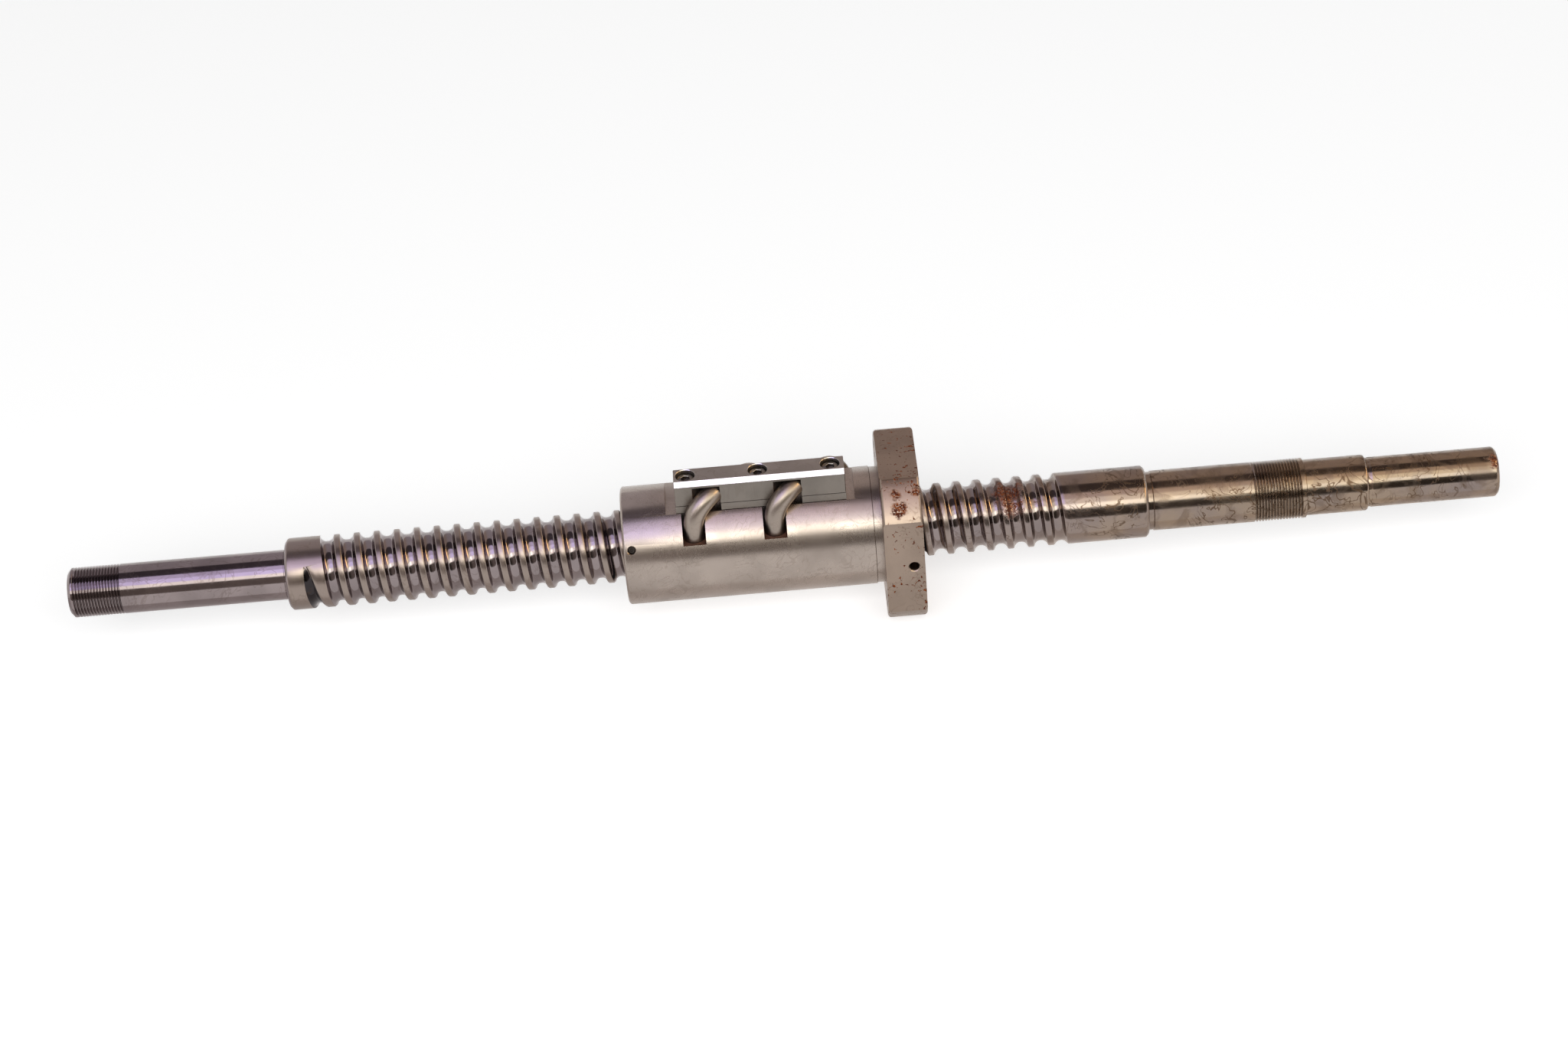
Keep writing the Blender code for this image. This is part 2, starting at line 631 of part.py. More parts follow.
def clamp_bar(material):
    """The bar across both tubes, with a notch over each and three counterbored holes."""
    top_front = CLAMP_FRONT + CLAMP_CHAMFER
    top_back = CLAMP_BACK - CLAMP_CHAMFER
    chamfer_foot = CLAMP_TOP - CLAMP_CHAMFER
    outline = [(CLAMP_FRONT, BAR_BOTTOM), (CLAMP_BACK, BAR_BOTTOM), (CLAMP_BACK, chamfer_foot),
               (top_back, CLAMP_TOP), (top_front, CLAMP_TOP), (CLAMP_FRONT, chamfer_foot)]
    ends = (CLAMP_LEFT, CLAMP_LEFT + CLAMP_LENGTH)
    bar = make_object("clamp_bar", loft([[(x, y, z) for y, z in outline] for x in ends]), material)
    low_y = CLAMP_FRONT - CUTTER_OVERRUN
    high_y = CLAMP_BACK + CUTTER_OVERRUN
    notches = []
    for leg in LEG_POSITIONS:
        low = notch_edges(leg, low_y)
        high = notch_edges(leg, high_y)
        plan = [(low[0], low_y), (low[1], low_y), (high[1], high_y), (high[0], high_y)]
        notches.append(prism(plan, BAR_BOTTOM - CUTTER_OVERRUN, NOTCH_ROOF))
    cut(bar, "notches", notches)
    head_floor = CLAMP_TOP - HEAD_HOLE_DEPTH
    base = BAR_BOTTOM - CUTTER_OVERRUN
    shank = CLAMP_SCREW_RADIUS + SEAT_GAP
    steps = [(0, shank), (head_floor - base, shank), (head_floor - base, HEAD_HOLE_RADIUS),
             (CLAMP_TOP + CUTTER_OVERRUN - base, HEAD_HOLE_RADIUS)]
    cut(bar, "screw_holes", [stepped_pin((x, CLAMP_MIDDLE, base), (0, 0, 1), steps)
                             for x in CLAMP_SCREW_POSITIONS])
    return bar


def clamp_pad(number, material):
    """One of the pads under the bar, which the diagonal tubes part from each other."""
    front = [CLAMP_LEFT]
    back = [CLAMP_LEFT]
    for leg in LEG_POSITIONS:
        front += notch_edges(leg, CLAMP_FRONT)
        back += notch_edges(leg, CLAMP_BACK)
    front.append(CLAMP_LEFT + CLAMP_LENGTH)
    back.append(CLAMP_LEFT + CLAMP_LENGTH)
    left = 2 * (number - 1)
    plan = [(front[left], CLAMP_FRONT), (front[left + 1], CLAMP_FRONT),
            (back[left + 1], CLAMP_BACK), (back[left], CLAMP_BACK)]
    bottom = FLAT_HEIGHT + SEAT_GAP
    pad = make_object(f"clamp_pad_{number}", prism(plan, bottom, PAD_TOP), material)
    radius = CLAMP_SCREW_RADIUS + SEAT_GAP
    steps = [(0, radius), (PAD_THICKNESS + 2 * CUTTER_OVERRUN, radius)]
    base = (CLAMP_SCREW_POSITIONS[number - 1], CLAMP_MIDDLE, bottom - CUTTER_OVERRUN)
    cut(pad, "hole", [stepped_pin(base, (0, 0, 1), steps)])
    return pad


def clamp_screw(number, material):
    """A socket head cap screw that draws the bar down on its pad."""
    head_floor = CLAMP_TOP - HEAD_HOLE_DEPTH + SEAT_GAP
    head_top = head_floor + SCREW_HEAD_HEIGHT - CLAMP_SCREW_FOOT
    under_head = head_floor - CLAMP_SCREW_FOOT
    steps = [(0, CLAMP_SCREW_RADIUS), (under_head, CLAMP_SCREW_RADIUS),
             (under_head, SCREW_HEAD_RADIUS), (head_top, SCREW_HEAD_RADIUS)]
    foot = Vector((CLAMP_SCREW_POSITIONS[number - 1], CLAMP_MIDDLE, CLAMP_SCREW_FOOT))
    screw = make_object(f"clamp_screw_{number}", stepped_pin(foot, (0, 0, 1), steps), material)
    socket_floor = foot + Vector((0, 0, head_top - SCREW_SOCKET_DEPTH))
    socket = [(0, SCREW_SOCKET_RADIUS), (SCREW_SOCKET_DEPTH + CUTTER_OVERRUN, SCREW_SOCKET_RADIUS)]
    cut(screw, "socket", [stepped_pin(socket_floor, (0, 0, 1), socket, sides=6)])
    return screw


def wiper(name, left, width, material):
    """A wiper ring in its seat, with a bevelled lip towards the screw."""
    outer = WIPER_SEAT_RADIUS - SEAT_GAP
    bore = WIPER_BORE_RADIUS / math.cos(math.pi / NUT_FACETS)
    lip = width / 3
    profile = [(left, bore + lip), (left + lip, bore), (left + width - lip, bore),
               (left + width, bore + lip), (left + width, outer), (left, outer)]
    return make_object(name, turned_ring(profile), material)


def wipers(material):
    """Both wipers, each seated at the bottom of its recess."""
    left_seat = NUT_LEFT + WIPER_SEAT_DEPTH - SEAT_GAP
    right_seat = NUT_RIGHT - WIPER_SEAT_DEPTH + SEAT_GAP
    return [
        wiper("wiper_left", left_seat - LEFT_WIPER_WIDTH, LEFT_WIPER_WIDTH, material),
        wiper("wiper_right", right_seat, RIGHT_WIPER_WIDTH, material),
    ]


def wiper_retainer(material):
    """The open spring ring that keeps the right wiper in its seat."""
    left = NUT_RIGHT - WIPER_SEAT_DEPTH + 2 * SEAT_GAP + RIGHT_WIPER_WIDTH
    right = left + RETAINER_WIDTH
    profile = [(left, RETAINER_INNER_RADIUS), (right, RETAINER_INNER_RADIUS),
               (right, RETAINER_OUTER_RADIUS), (left, RETAINER_OUTER_RADIUS)]
    solid = turned_ring(profile, sides=SMALL_FACETS * 2, mouth=RETAINER_MOUTH)
    return make_object("wiper_retainer", solid, material)


def wiper_set_screw(material):
    """The set screw that holds the left wiper."""
    foot = NUT_RADIUS - WIPER_SEAT_RADIUS
    base, direction = set_screw_base(foot)
    steps = [(0, SET_SCREW_RADIUS), (SET_SCREW_LENGTH, SET_SCREW_RADIUS)]
    return make_object("wiper_set_screw", stepped_pin(base, direction, steps, 12), material)


def ball_places(leg):
    """Centres of the balls of one circuit: spread along the groove, then along the tube."""
    places = []
    for i in range(GROOVE_BALLS):
        turned_by = math.tau * CIRCUIT_TURNS * (i + 0.5) / GROOVE_BALLS
        angle = math.pi + turned_by
        places.append(Vector((leg + LEAD * turned_by / math.tau,
                              BALL_CIRCLE_RADIUS * math.cos(angle),
                              BALL_CIRCLE_RADIUS * math.sin(angle))))
    line = np.array([tube_point(leg, distance, height) for distance, height, _ in tube_line()])
    run = np.concatenate([[0], np.cumsum(np.linalg.norm(np.diff(line, axis=0), axis=1))])
    for i in range(TUBE_BALLS):
        along = run[-1] * (i + 1) / (TUBE_BALLS + 1)
        places.append(Vector([float(np.interp(along, run, line[:, axis])) for axis in range(3)]))
    return places


def balls(material):
    """The balls of every circuit, which share one mesh."""
    mesh = bpy.data.meshes.new("ball")
    editing = bmesh.new()
    bmesh.ops.create_icosphere(editing, subdivisions=2, radius=BALL_RADIUS)
    editing.to_mesh(mesh)
    editing.free()
    mesh.materials.append(material)
    mesh.shade_smooth()
    made = []
    for leg in LEG_POSITIONS:
        for place in ball_places(leg):
            ball = bpy.data.objects.new(f"ball_{len(made) + 1:02d}", mesh)
            ball.location = place
            bpy.context.collection.objects.link(ball)
            made.append(ball)
    return made


def carry(pieces):
    """Parent the nut's pieces to one empty on the screw's axis, at the nut's left end."""
    carriage = bpy.data.objects.new("nut_carriage", None)
    carriage.location = (NUT_LEFT, 0, 0)
    bpy.context.collection.objects.link(carriage)
    bpy.context.view_layer.update()
    for piece in pieces:
        piece.parent = carriage
        piece.matrix_parent_inverse = carriage.matrix_world.inverted()


def build():
    for old in list(bpy.data.objects):
        bpy.data.objects.remove(old, do_unlink=True)
    ground_steel = metal("ground_steel", (0.55, 0.52, 0.52), 0.18)
    nut_steel = metal("nut_steel", (0.50, 0.46, 0.46), 0.30)
    tube_steel = metal("tube_steel", (0.52, 0.50, 0.50), 0.28)
    clamp_steel = metal("clamp_steel", (0.50, 0.49, 0.46), 0.40)
    dark_steel = metal("dark_steel", (0.10, 0.09, 0.09), 0.45)
    ball_steel = metal("ball_steel", (0.70, 0.70, 0.72), 0.08)
    wiper_plastic = metal("wiper_plastic", (0.05, 0.05, 0.06), 0.55, metallic=0.0)

    screw_shaft(ground_steel)
    nut_pieces = [ball_nut(nut_steel), clamp_bar(clamp_steel)]
    for number in range(1, CLAMP_SCREW_COUNT + 1):
        nut_pieces.append(clamp_pad(number, clamp_steel))
        nut_pieces.append(clamp_screw(number, dark_steel))
    for number, leg in enumerate(LEG_POSITIONS, start=1):
        nut_pieces.append(return_tube(number, leg, tube_steel))
    nut_pieces += wipers(wiper_plastic)
    nut_pieces.append(wiper_retainer(dark_steel))
    nut_pieces.append(wiper_set_screw(dark_steel))
    nut_pieces += balls(ball_steel)
    carry(nut_pieces)


build()
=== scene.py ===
import math

import bmesh
import bpy
import numpy as np
from mathutils import Matrix, Vector

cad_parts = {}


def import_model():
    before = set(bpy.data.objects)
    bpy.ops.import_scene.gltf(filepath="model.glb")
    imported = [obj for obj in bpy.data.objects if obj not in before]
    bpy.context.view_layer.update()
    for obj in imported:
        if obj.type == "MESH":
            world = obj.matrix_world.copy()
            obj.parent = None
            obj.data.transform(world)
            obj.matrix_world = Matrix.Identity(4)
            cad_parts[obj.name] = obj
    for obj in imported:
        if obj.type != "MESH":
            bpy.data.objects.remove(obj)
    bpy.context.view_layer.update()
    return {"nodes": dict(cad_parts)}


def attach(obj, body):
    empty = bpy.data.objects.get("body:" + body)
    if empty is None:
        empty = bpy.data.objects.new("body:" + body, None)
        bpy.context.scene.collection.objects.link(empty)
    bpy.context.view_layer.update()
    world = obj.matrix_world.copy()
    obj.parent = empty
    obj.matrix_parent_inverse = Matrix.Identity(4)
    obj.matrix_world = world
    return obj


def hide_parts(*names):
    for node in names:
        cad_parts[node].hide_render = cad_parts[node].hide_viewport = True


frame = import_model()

MM = 0.001

# The screw: the CAD's sizes, but for both threads and the groove's left run-out
LEAD = 10.0 * MM
SCREW_RADIUS = 18.0 * MM
BALL_CIRCLE_RADIUS = 18.4 * MM
GROOVE_ARC_RADIUS = 3.425 * MM
GROOVE_START = 121.8 * MM
GROOVE_START_ANGLE = math.radians(133.5)
GROOVE_TURNS = 37.5
GROOVE_POINTS = 15
RUN_OUT_TURNS = 0.375
RUN_OUT_LEAN = 2.4 * MM
RUN_OUT_POWER = 1.5
LAST_CUT = 0.02 * MM
LAND_EDGE = 0.50 * MM
LAND_EDGE_DROP = 0.34 * MM
LAND_POINTS = 4
GROOVE_RIDGE = 0.10 * MM
GROOVE_RIDGE_WIDTH = 1.0 * MM
LEFT_RADIUS = 12.5 * MM
LEFT_SHOULDER = 109.2 * MM
LEFT_THREAD_START = 1.6 * MM
LEFT_THREAD_END = 27.9 * MM
RIGHT_SHOULDER = 538.4 * MM
BEARING_RADIUS = 15.0 * MM
BEARING_END = 590.4 * MM
RIGHT_THREAD_END = 617.6 * MM
SEAL_RADIUS = 14.0 * MM
SEAL_END = 648.2 * MM
DRIVE_RADIUS = 12.5 * MM
DRIVE_END = 713.7 * MM
THREAD_PITCH = 1.5 * MM
THREAD_DEPTH = 0.75 * MM
THREAD_LEAD_IN = 0.2 * MM
THREAD_FADES = (0.5, 0.4)
# Distance from a collar's end, and depth below the screw's radius
COLLAR_EDGE = [(d * MM, depth * MM) for d, depth in (
    (0.0, 1.4), (0.2, 1.15), (1.0, 0.3), (1.5, 0.05), (2.0, 0.0), (2.5, 0.0))]

# The nut
NUT_LEFT = 277.5 * MM
NUT_BODY_END = 401.8 * MM
FLANGE_FACE = 405.6 * MM
NUT_RIGHT = 425.0 * MM
NUT_RADIUS = 29.5 * MM
NUT_BORE_RADIUS = 18.9 * MM
NECK_DEPTH = 0.5 * MM
FLANGE_RADIUS = 47.0 * MM
FLANGE_HALF_WIDTH = 38.7 * MM
FLANGE_HALF_HEIGHT = 41.7 * MM
BOLT_CIRCLE_RADIUS = 38.0 * MM
BOLT_HOLE_RADIUS = 4.5 * MM
BOLT_HEAD_RADIUS = 7.0 * MM
BOLT_HEAD_DEPTH = 8.5 * MM
PORT_FROM_FACE = 5.4 * MM
PORT_RADIUS = 2.5 * MM
WIPER_SEAT_RADIUS = 22.0 * MM
WIPER_SEAT_DEPTH = 8.0 * MM
WIPER_SEAT_MOUTH = 22.6 * MM
RETAINER_PLACE = 5.3 * MM
RETAINER_SLOT_WIDTH = 1.8 * MM
RETAINER_SLOT_RADIUS = 23.2 * MM

# Tubes and clamp
FRONT_LEGS = (313.092 * MM, 313.092 * MM + 40.0 * MM)
TUBE_REACH = 35.0 * MM
TUBE_RADIUS = 5.0 * MM
TUBE_BORE_RADIUS = 3.6 * MM
TUBE_SWAY = 2.5 * MM
TUBE_FOOT_HEIGHT = 12.0 * MM
TUBE_BEND_START = 20.7 * MM
TUBE_FRONT_BEND = 14.0 * MM
TUBE_BACK_BEND = 11.0 * MM
TUBE_CROWN_FALL = math.radians(14.0)
TUBE_CHANNEL_RADIUS = 5.6 * MM
POCKET_HALF_WIDTH = 5.7 * MM
POCKET_FLOOR = 14.7 * MM
POCKET_REACH = 4.6 * MM
TUBE_SEAT_RADIUS = 5.3 * MM
TUBE_SEAT_FLOOR = 11.7 * MM
FLAT_HEIGHT = 26.1 * MM
FLAT_LEFT = 299.8 * MM
FLAT_RIGHT = 393.5 * MM
CLAMP_LEFT = 305.1 * MM
CLAMP_RIGHT = 389.3 * MM
CLAMP_FRONT = -13.6 * MM
CLAMP_BACK = 1.2 * MM
CLAMP_MIDDLE = -6.2 * MM
CLAMP_TOP = 43.6 * MM
CLAMP_CHAMFER = 2.1 * MM
PAD_BOTTOM = 26.4 * MM
PAD_TOP = 30.2 * MM
BAR_BOTTOM = 30.5 * MM
NOTCH_HALF_WIDTH = 5.4 * MM
NOTCH_ROOF = 40.4 * MM
CLAMP_SCREWS = [(311.0 + 35.7 * i) * MM for i in range(3)]
SCREW_HOLE_RADIUS = 2.8 * MM
TAP_FLOOR = 22.7 * MM
HEAD_HOLE_RADIUS = 4.8 * MM
HEAD_FLOOR = 36.6 * MM
HEAD_RADIUS = 4.25 * MM
HEAD_HEIGHT = 5.0 * MM
SHANK_RADIUS = 2.5 * MM
SHANK_FOOT = 23.0 * MM
SEAT_GAP = 0.3 * MM
SET_SCREW_ANGLE = math.radians(149.8)
SET_SCREW_LINE = Vector((0, math.cos(SET_SCREW_ANGLE), math.sin(SET_SCREW_ANGLE)))
SET_SCREW_FOOT = Vector((281.8 * MM, 0, 0))

# Fineness. COLUMNS is the number of points round the screw, and OVERRUN how far a cutter
# stands out of what it cuts.
COLUMNS = 80
NUT_SIDES = 192
HOLE_SIDES = 48
OVERRUN = 2.0 * MM


# Meshes: every shape is a grid of points worked out as whole arrays

def grid_faces(rows, columns, wrap_rows=False):
    """Quads of a grid whose columns close on themselves, and its rows too if asked."""
    index = np.arange(rows * columns).reshape(rows, columns)
    if wrap_rows:
        index = np.vstack([index, index[:1]])
    right = np.roll(index, -1, axis=1)
    corners = [index[:-1], right[:-1], right[1:], index[1:]]
    return np.stack(corners, axis=-1).reshape(-1, 4).tolist()


def loft(loops, cyclic=False):
    """A skin over equal closed loops of points, with its open ends capped."""
    loops = np.asarray(loops, dtype=float)
    rows, columns = loops.shape[:2]
    faces = grid_faces(rows, columns, cyclic)
    if not cyclic:
        faces.append(list(range(columns)))
        faces.append(list(range((rows - 1) * columns, rows * columns)))
    return loops.reshape(-1, 3), faces


def circles(centres, radii, across, up, sides):
    """Circles about centres, each in the plane of its two unit vectors."""
    angle = np.arange(sides) * math.tau / sides
    centres, across, up = (np.asarray(a, dtype=float)[:, None, :] for a in (centres, across, up))
    radii = np.asarray(radii, dtype=float)[:, None, None]
    return centres + radii * (np.cos(angle)[None, :, None] * across
                              + np.sin(angle)[None, :, None] * up)


def turned(profile):
    """A solid of revolution about X from (x, radius) points."""
    profile = np.asarray(profile, dtype=float)
    centres = profile[:, :1] * (1.0, 0.0, 0.0)
    return loft(circles(centres, profile[:, 1], [(0, 1, 0)], [(0, 0, 1)], NUT_SIDES))


def turned_ring(profile, mouth=0.0):
    """A closed (x, radius) outline turned about X, with an optional mouth."""
    profile = np.asarray(profile, dtype=float)
    count = NUT_SIDES if mouth == 0 else NUT_SIDES + 1
    angle = (mouth / 2 + (math.tau - mouth) * np.arange(count) / NUT_SIDES)[:, None]
    x = np.tile(profile[:, 0], (count, 1))
    loops = np.stack([x, profile[:, 1] * np.cos(angle), profile[:, 1] * np.sin(angle)], axis=-1)
    return loft(loops, cyclic=(mouth == 0))


def pin(base, direction, steps, sides=HOLE_SIDES):
    """A round solid along a direction, from (distance, radius) points."""
    direction = Vector(direction).normalized()
    across = direction.orthogonal().normalized()
    up = direction.cross(across)
    steps = np.asarray(steps, dtype=float)
    centres = np.asarray(base, dtype=float) + steps[:, :1] * np.asarray(direction)
    return loft(circles(centres, steps[:, 1], [across], [up], sides))


def prism(outline, bottom, top):
    """A plan outline of (x, y) points raised between two heights."""
    return loft([[(x, y, z) for x, y in outline] for z in (bottom, top)])


def block(low, high):
    """A box between two corners."""
    return prism([(low[0], low[1]), (high[0], low[1]), (high[0], high[1]), (low[0], high[1])],
                 low[2], high[2])


def joined(solids):
    """Several solids as one list of vertices and one of faces."""
    vertices = []
    faces = []
    start = 0
    for points, quads in solids:
        vertices.append(np.asarray(points))
        faces += [[start + i for i in face] for face in quads]
        start += len(points)
    return np.vstack(vertices), faces


def piece_of(name, solid):
    """An object at the origin from a solid, with its faces turned outwards."""
    mesh = bpy.data.meshes.new(name)
    mesh.from_pydata([tuple(p) for p in np.asarray(solid[0]).tolist()], [], solid[1])
    editing = bmesh.new()
    editing.from_mesh(mesh)
    bmesh.ops.recalc_face_normals(editing, faces=editing.faces[:])
    editing.to_mesh(mesh)
    editing.free()
    piece = bpy.data.objects.new(name, mesh)
    bpy.context.collection.objects.link(piece)
    return piece


def carved(piece, *cuts):
    """The piece with each group of solids cut out of it, one group after another."""
    for solids in cuts:
        cutter = piece_of("cutter", joined(solids))
        modifier = piece.modifiers.new("cut", "BOOLEAN")
        modifier.operation = "DIFFERENCE"
        modifier.object = cutter
        bpy.context.view_layer.update()
        evaluated = piece.evaluated_get(bpy.context.evaluated_depsgraph_get())
        result = bpy.data.meshes.new_from_object(evaluated)
        piece.modifiers.clear()
        old = piece.data
        piece.data = result
        bpy.data.meshes.remove(old)
        bpy.data.objects.remove(cutter, do_unlink=True)
    return piece


def finish(piece, body, materials, nodes, sharp=32.0):
    """Shade a piece, give it its materials, say what it rides on and hide the CAD parts that it
    stands for.
    """
    mesh = piece.data
    mesh.name = piece.name
    mesh.materials.clear()
    for material in materials:
        mesh.materials.append(material)
    mesh.shade_smooth()
    mesh.set_sharp_from_angle(angle=math.radians(sharp))
    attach(piece, body)
    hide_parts(*nodes)


# The screw

class Skin:
    """Points and faces of one skin about X, gathered ring by ring and stretch by stretch.

    Every ring has a point in each of COLUMNS directions. A helical stretch is one long strip:
    row i lies in column i modulo COLUMNS, and each row's last point meets the first point of
    the row one turn later.
    """

    def __init__(self):
        self.blocks = []
        self.faces = []
        self.count = 0
        self.edge = None

    def add(self, points):
        """Keep points and return their numbers, in the shape that they came in."""
        points = np.asarray(points, dtype=float)
        numbers = self.count + np.arange(points[..., 0].size).reshape(points.shape[:-1])
        self.blocks.append(points.reshape(-1, 3))
        self.count += numbers.size
        return numbers

    def circle(self, x, radius):
        """Keep the points of a ring and return their numbers."""
        angle = np.arange(COLUMNS) * math.tau / COLUMNS
        return self.add(np.column_stack([np.full(COLUMNS, x), radius * np.cos(angle),
                                         radius * np.sin(angle)]))

    def rings(self, *stations):
        """Carry the skin on over rings, each given as (x, radius). The first one is capped."""
        for x, radius in stations:
            a, b = self.edge, self.circle(x, radius)
            if a is None:
                self.faces.append(b.tolist())
            else:
                self.faces += np.stack([a, np.roll(a, -1), np.roll(b, -1), b], axis=-1).tolist()
            self.edge = b

    def helix(self, rows, next_x, next_radius):
        """Carry the skin on over helical rows, then to a ring.

        rows is the number of the first row and the points of all rows.
        """
        first, points = rows
        rows = self.add(points)
        count = len(rows)
        a, b = rows[:-1, :-1], rows[:-1, 1:]
        c, d = rows[1:, 1:], rows[1:, :-1]
        self.faces += np.stack([a, b, c, d], axis=-1).reshape(-1, 4).tolist()
        ends, starts = rows[:, -1], rows[:, 0]
        self.faces += np.stack([ends[:-COLUMNS - 1], ends[1:-COLUMNS],
                                starts[COLUMNS + 1:], starts[COLUMNS:-1]], axis=-1).tolist()
        # The ring before the helix meets its first turn
        near = np.roll(self.edge, -(first % COLUMNS))
        low = starts[:COLUMNS]
        self.faces += np.stack([near[:-1], near[1:], low[1:], low[:-1]], axis=-1).tolist()
        self.fan(low[-1], [near[-1], near[0], *rows[0], starts[COLUMNS]])
        # The ring after the helix meets its last turn
        far = self.circle(next_x, next_radius)
        last = first + count - 1
        turned_far = np.roll(far, -(last % COLUMNS))
        high = ends[-COLUMNS:]
        after = np.roll(turned_far, -1)
        self.faces += np.stack([high[:-1], high[1:], np.append(after[1:-1], turned_far[0]),
                                after[:-1]], axis=-1).tolist()
        self.fan(high[0], [after[0], turned_far[0], *rows[-1][::-1], ends[-COLUMNS - 1]])
        self.edge = far

    def fan(self, corner, points):
        """Triangles from one corner to each pair of points."""
        self.faces += [[int(corner), int(p), int(q)] for p, q in zip(points, points[1:])]

    def solid(self):
        """The capped skin."""
        return np.vstack(self.blocks), self.faces + [self.edge.tolist()]


def helix_rows(first, places, offsets, radii):
    """Points of rows: each at its own angle, its place along X plus offsets, and its radii."""
    angle = ((first + np.arange(len(places))) * math.tau / COLUMNS)[:, None]
    x = places[:, None] + offsets
    return np.stack([x, radii * np.cos(angle), radii * np.sin(angle)], axis=-1)


def groove_rows():
    """The ball groove as rows: two arcs that meet in a low ridge, then a softened land.

    The arc's centre moves out of the screw over RUN_OUT_TURNS at each end, so the groove
    narrows to a point there. The left point also leans RUN_OUT_LEAN to the left. The edge
    beside the left collar stays sharp, so that the collar stays level.
    """
    first = math.ceil(GROOVE_START_ANGLE / math.tau * COLUMNS)
    last = math.floor((GROOVE_START_ANGLE / math.tau + GROOVE_TURNS) * COLUMNS)
    # One turn more than the groove has, since each land ends at the next turn's edge
    row = np.arange(first, last + COLUMNS + 1)
    turns = row / COLUMNS - GROOVE_START_ANGLE / math.tau
    from_end = np.minimum(turns, GROOVE_TURNS - turns) / RUN_OUT_TURNS
    full = GROOVE_ARC_RADIUS - (BALL_CIRCLE_RADIUS - SCREW_RADIUS) - LAST_CUT
    retreat = full * np.clip(1 - from_end, 0, 1) ** RUN_OUT_POWER
    centre = (BALL_CIRCLE_RADIUS + retreat)[:, None]
    edge = np.arccos((centre - SCREW_RADIUS) / GROOVE_ARC_RADIUS)
    across = np.linspace(-1, 1, GROOVE_POINTS)[None, :] * edge
    offset = GROOVE_ARC_RADIUS * np.sin(across)
    radius = centre - GROOVE_ARC_RADIUS * np.cos(across)
    ridge = GROOVE_RIDGE * np.clip(1 - np.abs(offset) / GROOVE_RIDGE_WIDTH, 0, 1)
    radius += ridge * np.clip(1 - retreat / full, 0, 1)[:, None]
    soft = LAND_EDGE_DROP * np.clip(offset[:, -1:] / MM, 0, 1)
    past_collar = np.clip((turns - 1) / 0.1, 0, 1)[:, None]
    radius[:, :1] -= soft * past_collar
    radius[:, -1:] -= soft
    offset = offset - RUN_OUT_LEAN * np.clip(1 - turns / RUN_OUT_TURNS, 0, 1)[:, None]
    rows = last - first + 1
    high = LEAD + offset[COLUMNS:COLUMNS + rows, :1] - LAND_EDGE
    low = offset[:rows, -1:] + LAND_EDGE
    land = low + (high - low) * np.linspace(0, 1, LAND_POINTS)[None, :]
    offsets = np.hstack([offset[:rows], land])
    radii = np.hstack([radius[:rows], np.full_like(land, SCREW_RADIUS)])
    return first, helix_rows(first, GROOVE_START + LEAD * turns[:rows], offsets, radii)


def thread_rows(start, end, major):
    """A locknut thread as rows: crest, flank, root, flank, which fade in and out."""
    turns = (end - start) / THREAD_PITCH - 1.5
    count = int(turns * COLUMNS) + 1
    share = np.array([0.0, 0.10, 0.42, 0.56, 0.88])
    depth = np.array([0.0, 0.0, 1.0, 1.0, 0.0])
    done = np.arange(count) / COLUMNS
    fade_in, fade_out = THREAD_FADES
    fade = np.clip(np.minimum(done / fade_in, (turns - done) / fade_out), 0, 1)
    offsets = np.tile(share * THREAD_PITCH, (count, 1))
    radii = major - THREAD_DEPTH * fade[:, None] * depth[None, :]
    places = start + THREAD_LEAD_IN + THREAD_PITCH * np.arange(count) / COLUMNS
    return 0, helix_rows(0, places, offsets, radii)


